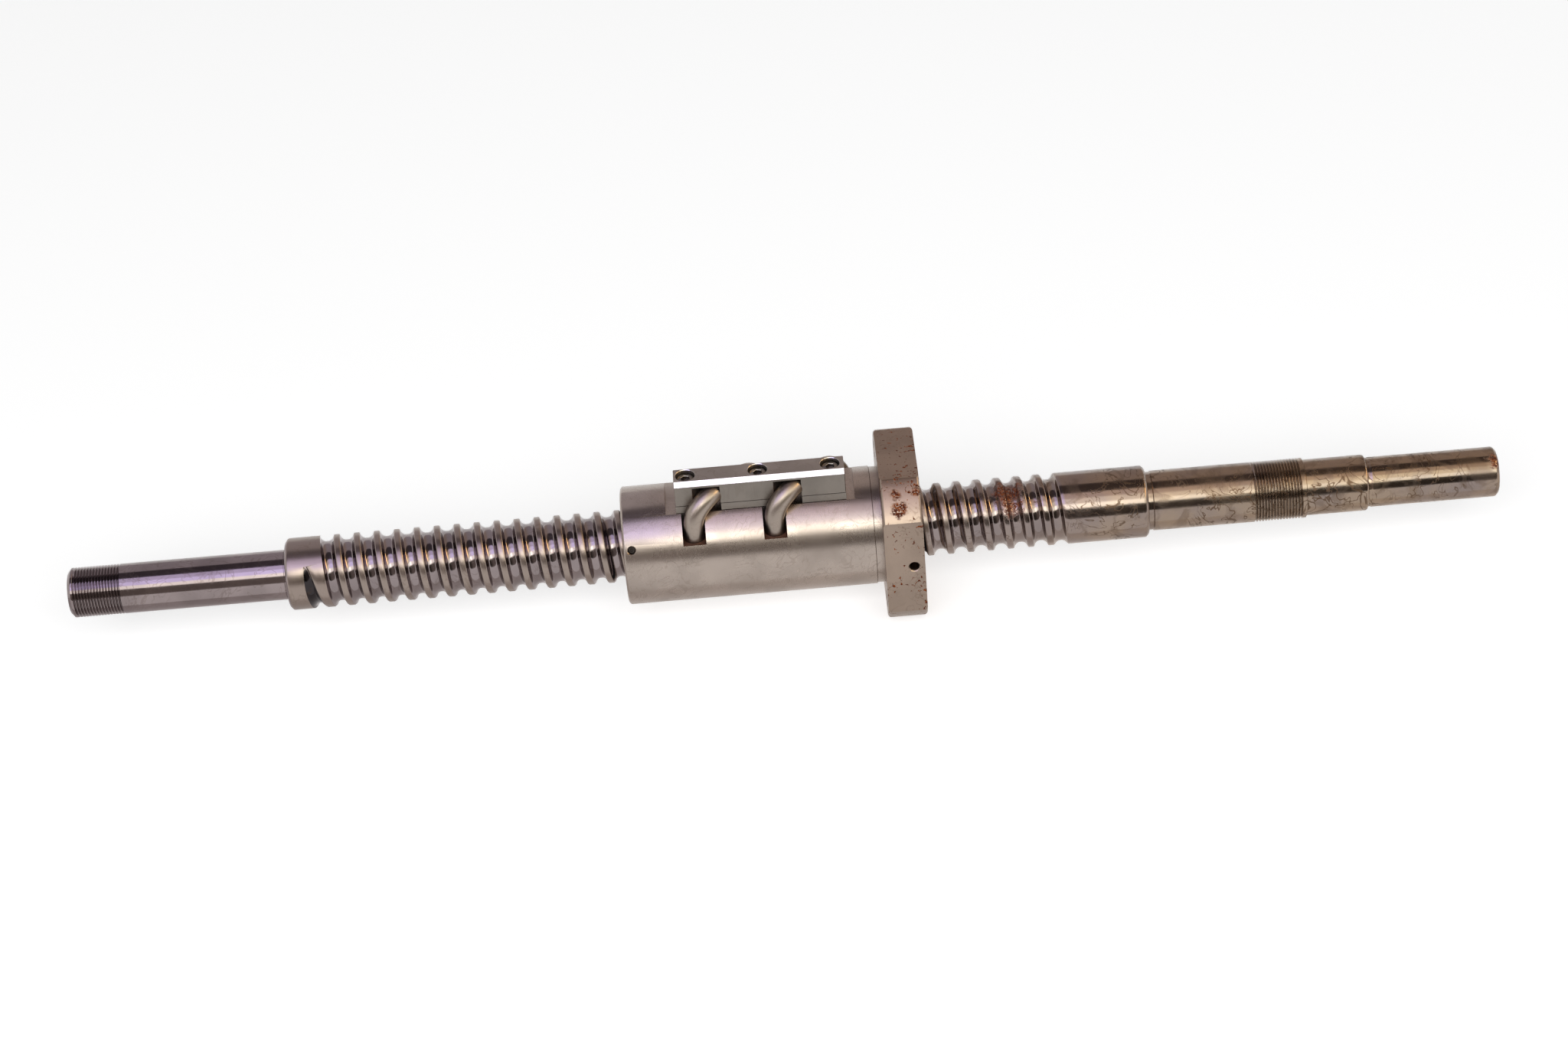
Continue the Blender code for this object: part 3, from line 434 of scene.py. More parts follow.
def screw_solid():
    """The whole screw, left to right.

    A second ring close to some edges keeps the shading of a chamfer off the long cylinder
    beside it.
    """
    left, right, seal, drive = LEFT_SHOULDER, RIGHT_SHOULDER, SEAL_END, DRIVE_END
    collar_start = [(left + d, SCREW_RADIUS - depth) for d, depth in COLLAR_EDGE]
    collar_end = [(right - d, SCREW_RADIUS - depth) for d, depth in COLLAR_EDGE[::-1]]
    skin = Skin()
    skin.rings((0.0, LEFT_RADIUS - 1.7 * MM), (0.25 * MM, LEFT_RADIUS - 1.45 * MM),
               (1.1 * MM, LEFT_RADIUS - 0.5 * MM), (1.4 * MM, LEFT_RADIUS - 0.15 * MM),
               (LEFT_THREAD_START, LEFT_RADIUS))
    skin.helix(thread_rows(LEFT_THREAD_START, LEFT_THREAD_END, LEFT_RADIUS), LEFT_THREAD_END,
               LEFT_RADIUS)
    skin.rings((60 * MM, LEFT_RADIUS), (left - 1.2 * MM, LEFT_RADIUS),
               (left - 1.0 * MM, LEFT_RADIUS - 0.2 * MM), (left, LEFT_RADIUS - 0.2 * MM),
               *collar_start)
    skin.helix(groove_rows(), *collar_end[0])
    skin.rings(*collar_end[1:], (right, BEARING_RADIUS - 0.4 * MM),
               (right + 2.5 * MM, BEARING_RADIUS - 0.4 * MM), (right + 2.9 * MM, BEARING_RADIUS),
               (BEARING_END - 0.3 * MM, BEARING_RADIUS))
    skin.helix(thread_rows(BEARING_END, RIGHT_THREAD_END - 0.5 * MM, BEARING_RADIUS),
               RIGHT_THREAD_END - 0.4 * MM, BEARING_RADIUS)
    skin.rings((RIGHT_THREAD_END, BEARING_RADIUS - 0.7 * MM), (RIGHT_THREAD_END, SEAL_RADIUS),
               (seal - 1.3 * MM, SEAL_RADIUS), (seal - 0.8 * MM, SEAL_RADIUS),
               (seal - 0.2 * MM, SEAL_RADIUS - 0.4 * MM), (seal, SEAL_RADIUS - 0.8 * MM),
               (seal, DRIVE_RADIUS - 0.25 * MM), (seal + 1.8 * MM, DRIVE_RADIUS - 0.25 * MM),
               (seal + 2.1 * MM, DRIVE_RADIUS), (seal + 2.6 * MM, DRIVE_RADIUS),
               (drive - 2.3 * MM, DRIVE_RADIUS), (drive - 1.8 * MM, DRIVE_RADIUS),
               (drive - 1.2 * MM, DRIVE_RADIUS - 0.2 * MM),
               (drive - 0.2 * MM, DRIVE_RADIUS - 1.2 * MM), (drive, DRIVE_RADIUS - 1.5 * MM))
    return skin.solid()


# The return tubes

TUBE_SPAN = math.hypot(TUBE_REACH, 2 * BALL_CIRCLE_RADIUS)
TUBE_DIRECTION = np.array([TUBE_REACH, 2 * BALL_CIRCLE_RADIUS, 0.0]) / TUBE_SPAN
TUBE_SIDEWAYS = np.array([-TUBE_DIRECTION[1], TUBE_DIRECTION[0], 0.0])


def tube_line(steps=16):
    """(distance, height, slope) along a tube in its upright plane, as in the CAD."""
    quarter = math.pi / 2
    front = np.linspace(0, quarter + TUBE_CROWN_FALL, steps + 1)
    distance = TUBE_FRONT_BEND * (1 - np.cos(front))
    height = TUBE_BEND_START + TUBE_FRONT_BEND * np.sin(front)
    centre = TUBE_SPAN - TUBE_BACK_BEND
    bend_start = centre + TUBE_BACK_BEND * math.sin(TUBE_CROWN_FALL)
    bend_height = height[-1] - math.tan(TUBE_CROWN_FALL) * (bend_start - distance[-1])
    centre_height = bend_height - TUBE_BACK_BEND * math.cos(TUBE_CROWN_FALL)
    back = np.linspace(TUBE_CROWN_FALL, quarter, steps)
    return np.vstack([
        [[0.0, TUBE_FOOT_HEIGHT, quarter]],
        np.column_stack([distance, height, quarter - front]),
        np.column_stack([centre + TUBE_BACK_BEND * np.sin(back),
                         centre_height + TUBE_BACK_BEND * np.cos(back), -back]),
        [[TUBE_SPAN, TUBE_FOOT_HEIGHT, -quarter]],
    ])


def tube_centres(leg):
    """Points of a tube's middle line: its upright plane's line, swayed sideways by a full sine.

    The sway carries the front half towards +X and the back half towards -X.
    """
    line = tube_line()
    points = np.array([leg, -BALL_CIRCLE_RADIUS, 0.0]) + line[:, :1] * TUBE_DIRECTION
    points -= TUBE_SWAY * np.sin(math.tau * line[:, :1] / TUBE_SPAN) * TUBE_SIDEWAYS
    points[:, 2] = line[:, 1]
    return points, line[:, 2:]


def unit(vectors):
    return vectors / np.linalg.norm(vectors, axis=1, keepdims=True)


def tube_circles(leg, radius, sides=40):
    """Circles square to a return tube's middle line."""
    centres, slope = tube_centres(leg)
    tangent = unit(np.gradient(centres, axis=0))
    upper = -np.sin(slope) * TUBE_DIRECTION
    upper[:, 2] = np.cos(slope[:, 0])
    sideways = unit(np.cross(tangent, upper))
    normal = np.cross(sideways, tangent)
    return circles(centres, np.full(len(centres), radius), normal, sideways, sides)


def legs():
    """(x, y) of the tubes' legs."""
    for leg in FRONT_LEGS:
        yield leg, -BALL_CIRCLE_RADIUS
        yield leg + TUBE_REACH, BALL_CIRCLE_RADIUS


# The nut

def nut_room():
    """The plain bore, both wiper seats and the retainer's groove."""
    left = NUT_LEFT + WIPER_SEAT_DEPTH
    right = NUT_RIGHT - WIPER_SEAT_DEPTH
    slot = right + RETAINER_PLACE
    slot_end = slot + RETAINER_SLOT_WIDTH
    mouth = WIPER_SEAT_MOUTH + OVERRUN
    return turned([
        (NUT_LEFT - OVERRUN, mouth), (NUT_LEFT + 0.6 * MM, WIPER_SEAT_RADIUS),
        (left, WIPER_SEAT_RADIUS), (left, NUT_BORE_RADIUS),
        (right, NUT_BORE_RADIUS), (right, WIPER_SEAT_RADIUS),
        (slot, WIPER_SEAT_RADIUS), (slot, RETAINER_SLOT_RADIUS),
        (slot_end, RETAINER_SLOT_RADIUS), (slot_end, WIPER_SEAT_RADIUS),
        (NUT_RIGHT - 0.6 * MM, WIPER_SEAT_RADIUS), (NUT_RIGHT + OVERRUN, mouth)])


def nut_piece():
    """The nut: turned, then bored, milled and drilled."""
    profile = [
        (NUT_LEFT, NUT_RADIUS - 1.2 * MM), (NUT_LEFT + 0.25 * MM, NUT_RADIUS - 0.8 * MM),
        (NUT_LEFT + 0.8 * MM, NUT_RADIUS - 0.2 * MM), (NUT_LEFT + 1.2 * MM, NUT_RADIUS),
        (NUT_LEFT + 40 * MM, NUT_RADIUS), (NUT_LEFT + 80 * MM, NUT_RADIUS),
        (NUT_BODY_END - 0.3 * MM, NUT_RADIUS), (NUT_BODY_END, NUT_RADIUS - NECK_DEPTH),
        (FLANGE_FACE, NUT_RADIUS - NECK_DEPTH), (FLANGE_FACE, FLANGE_RADIUS - 1.0 * MM),
        (FLANGE_FACE + 0.3 * MM, FLANGE_RADIUS - 0.5 * MM),
        (FLANGE_FACE + 1.0 * MM, FLANGE_RADIUS), (NUT_RIGHT - 1.0 * MM, FLANGE_RADIUS),
        (NUT_RIGHT - 0.3 * MM, FLANGE_RADIUS - 0.5 * MM), (NUT_RIGHT, FLANGE_RADIUS - 1.0 * MM),
    ]
    nut = piece_of("nut_body", turned(profile))
    reach = FLANGE_RADIUS + OVERRUN
    x0, x1 = FLANGE_FACE - OVERRUN, NUT_RIGHT + OVERRUN
    side_flats = [block((x0, -reach, -reach), (x1, -FLANGE_HALF_WIDTH, reach)),
                  block((x0, FLANGE_HALF_WIDTH, -reach), (x1, reach, reach))]
    level_flats = [block((x0, -reach, -reach), (x1, reach, -FLANGE_HALF_HEIGHT)),
                   block((x0, -reach, FLANGE_HALF_HEIGHT), (x1, reach, reach))]
    head = OVERRUN + NUT_RIGHT - FLANGE_FACE - BOLT_HEAD_DEPTH
    steps = [(0, BOLT_HOLE_RADIUS), (head, BOLT_HOLE_RADIUS), (head, BOLT_HEAD_RADIUS),
             (NUT_RIGHT - FLANGE_FACE + 2 * OVERRUN, BOLT_HEAD_RADIUS)]
    holes = []
    for i in range(4):
        angle = math.tau * (i + 0.5) / 4
        base = (x0, BOLT_CIRCLE_RADIUS * math.cos(angle), BOLT_CIRCLE_RADIUS * math.sin(angle))
        holes.append(pin(base, (1, 0, 0), steps))
    port = [pin((NUT_RIGHT - PORT_FROM_FACE, -FLANGE_HALF_WIDTH - OVERRUN, 0), (0, 1, 0),
                [(0, 2 * PORT_RADIUS), (OVERRUN + 0.5 * MM, PORT_RADIUS), (14 * MM, PORT_RADIUS)])]
    body_reach = NUT_RADIUS + OVERRUN
    flat = [block((FLAT_LEFT, -body_reach, FLAT_HEIGHT), (FLAT_RIGHT, body_reach, body_reach))]
    pockets = []
    for x, y in legs():
        inner = abs(y) - POCKET_REACH
        low_y, high_y = (-body_reach, -inner) if y < 0 else (inner, body_reach)
        pockets.append(block((x - POCKET_HALF_WIDTH, low_y, POCKET_FLOOR),
                             (x + POCKET_HALF_WIDTH, high_y, body_reach)))
    channels = [loft(tube_circles(leg, TUBE_CHANNEL_RADIUS, 32)[1:-1]) for leg in FRONT_LEGS]
    steps = [(0, TUBE_BORE_RADIUS), (TUBE_SEAT_FLOOR, TUBE_BORE_RADIUS),
             (TUBE_SEAT_FLOOR, TUBE_SEAT_RADIUS), (POCKET_FLOOR + OVERRUN, TUBE_SEAT_RADIUS)]
    seats = [pin((x, y, 0), (0, 0, 1), steps) for x, y in legs()]
    taps = [pin((x, CLAMP_MIDDLE, TAP_FLOOR), (0, 0, 1),
                [(0, SCREW_HOLE_RADIUS), (9 * MM, SCREW_HOLE_RADIUS)]) for x in CLAMP_SCREWS]
    base = SET_SCREW_FOOT + SET_SCREW_LINE * 20.5 * MM
    hole = [pin(base, SET_SCREW_LINE, [(0, 2.0 * MM), (8.6 * MM, 2.0 * MM), (11 * MM, 4.4 * MM)])]
    return carved(nut, [nut_room()], side_flats, level_flats, holes, port, flat, pockets,
                  channels, seats, taps, hole)


def face_data(mesh):
    """Centres and normals of a mesh's faces as arrays."""
    count = len(mesh.polygons)
    centres = np.empty(count * 3)
    normals = np.empty(count * 3)
    mesh.polygons.foreach_get("center", centres)
    mesh.polygons.foreach_get("normal", normals)
    return centres.reshape(-1, 3), normals.reshape(-1, 3)


def paint(piece, number, mask):
    """Give the masked faces one of the piece's material slots."""
    index = np.empty(len(piece.data.polygons), dtype=np.int32)
    piece.data.polygons.foreach_get("material_index", index)
    index[mask] = number
    piece.data.polygons.foreach_set("material_index", index)


# Clamp pieces

def notch_walls(leg, y):
    """Where a notch's walls cross a line across the nut, along the tube's line inside the bar."""
    points = tube_centres(leg)[0]
    ends = [np.interp(edge, points[:, 1], points[:, 0]) for edge in (CLAMP_FRONT, CLAMP_BACK)]
    slope = (ends[1] - ends[0]) / (CLAMP_BACK - CLAMP_FRONT)
    middle = ends[0] + slope * (y - CLAMP_FRONT)
    half = NOTCH_HALF_WIDTH * math.hypot(1, slope)
    return middle - half, middle + half


def bar_piece():
    """The clamp bar: an outline with bevelled upper edges, notched and counterbored."""
    edge = 0.25 * MM
    low = CLAMP_TOP - CLAMP_CHAMFER
    outline = [(CLAMP_FRONT, BAR_BOTTOM), (CLAMP_BACK, BAR_BOTTOM), (CLAMP_BACK, low),
               (CLAMP_BACK - CLAMP_CHAMFER, CLAMP_TOP), (CLAMP_FRONT + CLAMP_CHAMFER, CLAMP_TOP),
               (CLAMP_FRONT, low)]
    middle = ((CLAMP_FRONT + CLAMP_BACK) / 2, (BAR_BOTTOM + CLAMP_TOP) / 2)
    loops = []
    for x, inset in ((CLAMP_LEFT, edge), (CLAMP_LEFT + edge, 0), (CLAMP_RIGHT - edge, 0),
                     (CLAMP_RIGHT, edge)):
        loops.append([(x, y - math.copysign(inset, y - middle[0]),
                       z - math.copysign(inset, z - middle[1])) for y, z in outline])
    bar = piece_of("clamp_bar_body", loft(loops))
    notches = []
    low_y, high_y = CLAMP_FRONT - OVERRUN, CLAMP_BACK + OVERRUN
    for leg in FRONT_LEGS:
        near, far = notch_walls(leg, low_y), notch_walls(leg, high_y)
        plan = [(near[0], low_y), (near[1], low_y), (far[1], high_y), (far[0], high_y)]
        notches.append(prism(plan, BAR_BOTTOM - OVERRUN, NOTCH_ROOF))
    base = BAR_BOTTOM - OVERRUN
    steps = [(0, SCREW_HOLE_RADIUS), (HEAD_FLOOR - base, SCREW_HOLE_RADIUS),
             (HEAD_FLOOR - base, HEAD_HOLE_RADIUS),
             (CLAMP_TOP - 0.25 * MM - base, HEAD_HOLE_RADIUS),
             (CLAMP_TOP + 0.25 * MM - base, HEAD_HOLE_RADIUS + 0.5 * MM),
             (CLAMP_TOP + OVERRUN - base, HEAD_HOLE_RADIUS + 0.5 * MM)]
    holes = [pin((x, CLAMP_MIDDLE, base), (0, 0, 1), steps) for x in CLAMP_SCREWS]
    return carved(bar, notches, holes)


def pad_piece(number):
    """One pad under the bar, between the walls of the notches."""
    front = [CLAMP_LEFT]
    back = [CLAMP_LEFT]
    for leg in FRONT_LEGS:
        front += notch_walls(leg, CLAMP_FRONT)
        back += notch_walls(leg, CLAMP_BACK)
    front.append(CLAMP_RIGHT)
    back.append(CLAMP_RIGHT)
    k = 2 * (number - 1)
    plan = [(front[k], CLAMP_FRONT), (front[k + 1], CLAMP_FRONT),
            (back[k + 1], CLAMP_BACK), (back[k], CLAMP_BACK)]
    pad = piece_of(f"pad_{number}", prism(plan, PAD_BOTTOM, PAD_TOP))
    hole = pin((CLAMP_SCREWS[number - 1], CLAMP_MIDDLE, PAD_BOTTOM - OVERRUN), (0, 0, 1),
               [(0, SCREW_HOLE_RADIUS), (10 * MM, SCREW_HOLE_RADIUS)])
    return carved(pad, [hole])


def cap_screw(number):
    """A socket head cap screw with a rounded head and a hex socket."""
    under = HEAD_FLOOR + SEAT_GAP - SHANK_FOOT
    top = under + HEAD_HEIGHT
    steps = [(0, SHANK_RADIUS - 0.4 * MM), (0.5 * MM, SHANK_RADIUS), (under, SHANK_RADIUS),
             (under, HEAD_RADIUS - 0.25 * MM), (under + 0.3 * MM, HEAD_RADIUS),
             (top - 0.7 * MM, HEAD_RADIUS), (top - 0.25 * MM, HEAD_RADIUS - 0.2 * MM),
             (top, HEAD_RADIUS - 0.65 * MM)]
    foot = Vector((CLAMP_SCREWS[number - 1], CLAMP_MIDDLE, SHANK_FOOT))
    screw = piece_of(f"cap_screw_{number}", pin(foot, (0, 0, 1), steps))
    floor = foot + Vector((0, 0, top - 2.5 * MM))
    return carved(screw, [pin(floor, (0, 0, 1), [(0, 2.3 * MM), (2.2 * MM, 2.3 * MM),
                                                 (3.2 * MM, 3.1 * MM)], 6)])


def set_screw():
    """The set screw, with a hex socket in its outer end."""
    base = SET_SCREW_FOOT + SET_SCREW_LINE * 22.0 * MM
    steps = [(0, 1.3 * MM), (0.4 * MM, 1.7 * MM), (4.6 * MM, 1.7 * MM), (4.9 * MM, 1.4 * MM)]
    screw = piece_of("set_screw", pin(base, SET_SCREW_LINE, steps))
    socket = pin(base + SET_SCREW_LINE * 2.4 * MM, SET_SCREW_LINE,
                 [(0, 1.1 * MM), (4 * MM, 1.1 * MM)], 6)
    return carved(screw, [socket])


def wiper_piece(name, left, width):
    """A wiper ring with a bevelled lip, as in the CAD."""
    outer = WIPER_SEAT_RADIUS - SEAT_GAP
    lip = width / 3
    bore = 18.4 * MM
    return piece_of(name, turned_ring([
        (left, bore + lip), (left + lip, bore), (left + width - lip, bore),
        (left + width, bore + lip), (left + width, outer - 0.3 * MM),
        (left + width - 0.3 * MM, outer), (left + 0.3 * MM, outer), (left, outer - 0.3 * MM)]))


# Materials

class Nodes:
    """A short way to add and link nodes in one tree."""

    def __init__(self, tree):
        self.tree = tree

    def add(self, kind, settings=None, **inputs):
        """A node with settings as attributes and inputs by name, a value or a socket each."""
        node = self.tree.nodes.new(kind)
        for key, value in (settings or {}).items():
            setattr(node, key, value)
        for key, value in inputs.items():
            self.set(node, key, value)
        return node

    def set(self, node, key, value):
        """Set or link one input, by name or number."""
        socket = node.inputs[key]
        if isinstance(value, bpy.types.NodeSocket):
            self.tree.links.new(value, socket)
        else:
            socket.default_value = value

    def math(self, operation, *values, clamp=False):
        """A Math node's result."""
        node = self.add("ShaderNodeMath", {"operation": operation, "use_clamp": clamp})
        for number, value in enumerate(values):
            self.set(node, number, value)
        return node.outputs[0]

    def times(self, a, b, clamp=False):
        return self.math("MULTIPLY", a, b, clamp=clamp)

    def plus(self, a, b, clamp=False):
        return self.math("ADD", a, b, clamp=clamp)

    def minus(self, a, b):
        return self.math("SUBTRACT", a, b)

    def most(self, a, b):
        return self.math("MAXIMUM", a, b)

    def ramp(self, value, low, high, start=0.0, end=1.0):
        """A clamped smooth step of a value."""
        node = self.add("ShaderNodeMapRange", {"interpolation_type": "SMOOTHSTEP"})
        for number, item in enumerate((value, low, high, start, end)):
            self.set(node, number, item)
        return node.outputs[0]

    def mix(self, share, a, b):
        """Colour a turned by a share to colour b."""
        node = self.add("ShaderNodeMix", {"data_type": "RGBA"})
        self.set(node, 0, share)
        self.set(node, 6, a)
        self.set(node, 7, b)
        return node.outputs[2]

    def object_point(self):
        return self.add("ShaderNodeTexCoord").outputs["Object"]

    def stretched(self, scale):
        """Object coordinates times a scale along each axis."""
        return self.add("ShaderNodeMapping", Vector=self.object_point(), Scale=scale).outputs[0]

    def noise(self, vector, scale, detail=4.0, distortion=0.0):
        node = self.add("ShaderNodeTexNoise", Vector=vector, Scale=scale, Detail=detail,
                        Distortion=distortion, Roughness=0.55)
        return node.outputs["Fac"]


def group(name, inputs, outputs):
    """An empty node group with named float inputs and outputs."""
    tree = bpy.data.node_groups.new(name, "ShaderNodeTree")
    for side, keys in (("INPUT", inputs), ("OUTPUT", outputs)):
        for key in keys:
            tree.interface.new_socket(key, in_out=side, socket_type="NodeSocketFloat")
    n = Nodes(tree)
    return tree, n, n.add("NodeGroupInput"), n.add("NodeGroupOutput")


def tool_marks_group():
    """Fine rings left by turning and grinding: noise drawn out round the axis."""
    tree, n, _, sink = group("tool_marks", [], ["Height", "Streak"])
    fine = n.noise(n.stretched((2600.0, 10.0, 10.0)), 1.0, 3.0)
    broad = n.noise(n.stretched((120.0, 6.0, 6.0)), 1.0, 3.0)
    n.set(sink, "Height", fine)
    n.set(sink, "Streak", n.times(n.plus(fine, broad), 0.5))
    return tree


def oil_stain_group():
    """Dried oil: blotches, and the curled outlines that it leaves in patches."""
    tree, n, source, sink = group("oil_stain", ["Amount"], ["Blotch", "Outline"])
    amount = source.outputs["Amount"]
    point = n.object_point()
    cloud = n.noise(point, 60.0, 5.0, 1.6)
    level = n.minus(0.74, n.times(amount, 0.26))
    n.set(sink, "Blotch", n.ramp(cloud, level, n.plus(level, 0.12)))
    contour = n.math("ABSOLUTE", n.minus(n.noise(point, 54.0, 2.0, 3.2), 0.53))
    patches = n.ramp(n.noise(point, 35.0, 2.0), 0.40, 0.55)
    outline = n.times(n.ramp(contour, 0.008, 0.030, 1.0, 0.0), patches)
    n.set(sink, "Outline", n.times(outline, amount, clamp=True))
    return tree


def speck_group():
    """Rust specks and pits: small spots inside larger clouds."""
    tree, n, source, sink = group("specks", ["Amount"], ["Mask"])
    point = n.object_point()
    small = n.noise(point, 520.0, 2.0, 0.4)
    cloud = n.noise(point, 70.0, 3.0)
    both = n.plus(n.times(small, 0.75), n.times(cloud, 0.35))
    level = n.minus(0.86, n.times(source.outputs["Amount"], 0.30))
    n.set(sink, "Mask", n.ramp(both, level, n.plus(level, 0.06)))
    return tree


GROUPS = {"marks": tool_marks_group(), "stain": oil_stain_group(), "specks": speck_group()}

OIL_COLOUR = (0.10, 0.055, 0.028)
OUTLINE_COLOUR = (0.080, 0.040, 0.016, 1.0)
RUST_COLOURS = (0.070, 0.014, 0.007, 1.0), (0.22, 0.055, 0.013, 1.0)
LAND_COLOUR = (0.290, 0.235, 0.205, 1.0)
# Painted shade: a dark grey mixed a little into the ball groove's colour
GROOVE_SHADE_COLOUR = (0.17, 0.155, 0.165, 1.0)
# Painted shade: near black mixed into the roots of both threads
ROOT_SHADE_COLOUR = (0.035, 0.028, 0.028, 1.0)
# Painted shade: near black over the ball groove's shallow run-out at the left collar
RUN_OUT_SHADE_COLOUR = (0.020, 0.018, 0.020, 1.0)
RUN_OUT_SHADE_END = 126.4 * MM
GROOVE_END = 497.5 * MM


def shader(name):
    """A new material, its node helper and its Principled shader."""
    material = bpy.data.materials.new(name)
    material.use_nodes = True
    return material, Nodes(material.node_tree), material.node_tree.nodes["Principled BSDF"]


def opaque(colour, factor=1.0):
    """A colour times a factor, with an alpha of 1."""
    return (*(factor * part for part in colour), 1.0)


def placed(n, key, **inputs):
    """One of the shared groups with its own values."""
    return n.add("ShaderNodeGroup", {"node_tree": GROUPS[key]}, **inputs)


def spot(n, centre, radius):
    """A soft mask round a point of the piece, broken up by noise."""
    point = n.object_point()
    distance = n.add("ShaderNodeVectorMath", {"operation": "DISTANCE"})
    n.set(distance, 0, point)
    n.set(distance, 1, centre)
    wander = n.times(n.minus(n.noise(point, 350.0, 5.0), 0.5), radius * 1.6)
    ragged = n.plus(distance.outputs["Value"], wander)
    broken = n.ramp(n.noise(point, 1300.0), 0.36, 0.50)
    return n.times(n.ramp(ragged, radius * 0.40, radius, 1.0, 0.0), broken)


def land_mask(n, radius):
    """1 on the lands between the turns of the ball groove and on the collars."""
    return n.ramp(radius, 17.5 * MM, 17.9 * MM)


def shaft_colour(n, along, radius, base):
    """The screw's colour: warmer lands up to the nut, and painted shade in its hollows."""
    # A mask of one hollow of the screw, which gets painted shade in the colour
    def hollow(floor, rim, low, high):
        inside = n.times(n.math("GREATER_THAN", along, low), n.math("LESS_THAN", along, high))
        return n.times(n.ramp(radius, floor, rim, 1.0, 0.0), inside)

    def roots(major, low, high):
        return hollow(major - THREAD_DEPTH, major - 0.15 * MM, low, high)

    # Painted shade down the whole ball groove
    groove = hollow(15.2 * MM, 17.7 * MM, LEFT_SHOULDER + 1.5 * MM, GROOVE_END)
    # Painted shade in the roots of both threads
    threads = n.most(roots(LEFT_RADIUS, LEFT_THREAD_START, LEFT_THREAD_END),
                     roots(BEARING_RADIUS, BEARING_END, RIGHT_THREAD_END - 0.5 * MM))
    # Painted shade, near black, over the groove's shallow milled run-out at the left
    milled = hollow(17.75 * MM, 17.93 * MM, LEFT_SHOULDER + 2.0 * MM, RUN_OUT_SHADE_END)
    warmer = n.times(land_mask(n, radius), n.ramp(along, 0.40, 0.50, 1.0, 0.0))
    base = n.mix(warmer, base, LAND_COLOUR)
    base = n.mix(n.times(groove, 0.15), base, GROOVE_SHADE_COLOUR)
    base = n.mix(n.times(threads, 0.38), base, ROOT_SHADE_COLOUR)
    return n.mix(n.times(milled, 0.92), base, RUN_OUT_SHADE_COLOUR)


def shaft_wear(n, along, radius):
    """The screw's extra roughness: on the lands, less past the nut, and on the right journals."""
    lands = n.times(land_mask(n, radius), n.ramp(along, 0.43, 0.49, 0.17, 0.03))
    journals = n.times(n.ramp(along, 0.541, 0.545, 0.0, 0.07),
                       n.ramp(along, 0.643, 0.650, 1.0, 0.35))
    return n.most(lands, journals)


def steel(name, colour, roughness, spread, stain, stain_colour=OIL_COLOUR, specks=0.0,
          bump=0.02, stain_by_length=None, warm=None, rust_spots=(), shaft=False, blotchy=0.0):
    """A worn steel: turning marks in its gloss, dried oil, specks of rust and rust spots.

    roughness varies by spread along the turning marks and by blotchy in patches. stain and
    specks say how much oil and how many specks there are, and rust_spots where larger spots
    are and how large. Over the stretch of X in stain_by_length the oil thickens and the colour
    turns to warm. shaft adds painted shade in the screw's hollows, and the screw's wear.
    """
    material, n, main = shader(name)
    point = n.object_point()
    parts = n.add("ShaderNodeSeparateXYZ", Vector=point)
    along = parts.outputs["X"]
    radius = n.math("SQRT", n.plus(n.math("POWER", parts.outputs["Y"], 2.0),
                                   n.math("POWER", parts.outputs["Z"], 2.0)))
    amount, tint = stain, opaque(colour)
    if stain_by_length:
        amount = n.ramp(along, *stain_by_length, stain * 0.25, stain)
        tint = n.mix(n.ramp(along, *stain_by_length), tint, opaque(warm))
    marks = placed(n, "marks")
    oil = placed(n, "stain", Amount=amount)
    blotch = n.times(oil.outputs["Blotch"], 0.35)
    outline = n.times(oil.outputs["Outline"], 0.85)
    film = n.most(blotch, outline)
    tone = n.noise(point, 45.0)
    rust = placed(n, "specks", Amount=specks).outputs["Mask"]
    for centre, size in rust_spots:
        rust = n.most(rust, spot(n, centre, size))
    rust_tone = n.mix(n.ramp(n.noise(point, 700.0), 0.42, 0.62), *RUST_COLOURS)

    base = n.mix(n.ramp(tone, 0.35, 0.70, 0.0, 0.7), tint, opaque(colour, 0.74))
    if shaft:
        base = shaft_colour(n, along, radius, base)
    base = n.mix(blotch, base, opaque(stain_colour))
    base = n.mix(outline, base, OUTLINE_COLOUR)
    n.set(main, "Base Color", n.mix(rust, base, rust_tone))
    n.set(main, "Metallic", n.minus(1.0, n.most(rust, n.times(film, 0.35))))

    gloss = n.plus(roughness - spread / 2, n.times(marks.outputs["Streak"], spread))
    gloss = n.plus(gloss, n.times(film, 0.22))
    gloss = n.plus(gloss, n.times(n.minus(tone, 0.5), blotchy))
    if shaft:
        gloss = n.plus(gloss, shaft_wear(n, along, radius))
    n.set(main, "Roughness", n.plus(gloss, n.times(rust, 0.45), clamp=True))
    n.set(main, "Specular IOR Level", n.minus(0.5, n.times(rust, 0.4)))
    height = n.minus(n.times(marks.outputs["Height"], 0.35), n.times(rust, 0.8))
    relief = n.add("ShaderNodeBump", Strength=bump, Distance=0.0004, Height=height)
    n.set(main, "Normal", relief.outputs[0])
    return material


def plain(name, colour, roughness, metallic, spread=0.12, scale=220.0):
    """A plain finish whose tone and gloss vary a little."""
    material, n, main = shader(name)
    cloud = n.noise(n.object_point(), scale)
    n.set(main, "Base Color", n.mix(n.ramp(cloud, 0.35, 0.65), opaque(colour),
                                    opaque(colour, 0.6)))
    n.set(main, "Roughness", n.plus(roughness - spread / 2, n.times(cloud, spread)))
    n.set(main, "Metallic", metallic)
    relief = n.add("ShaderNodeBump", Strength=0.08, Distance=0.0003, Height=cloud)
    n.set(main, "Normal", relief.outputs[0])
    return material


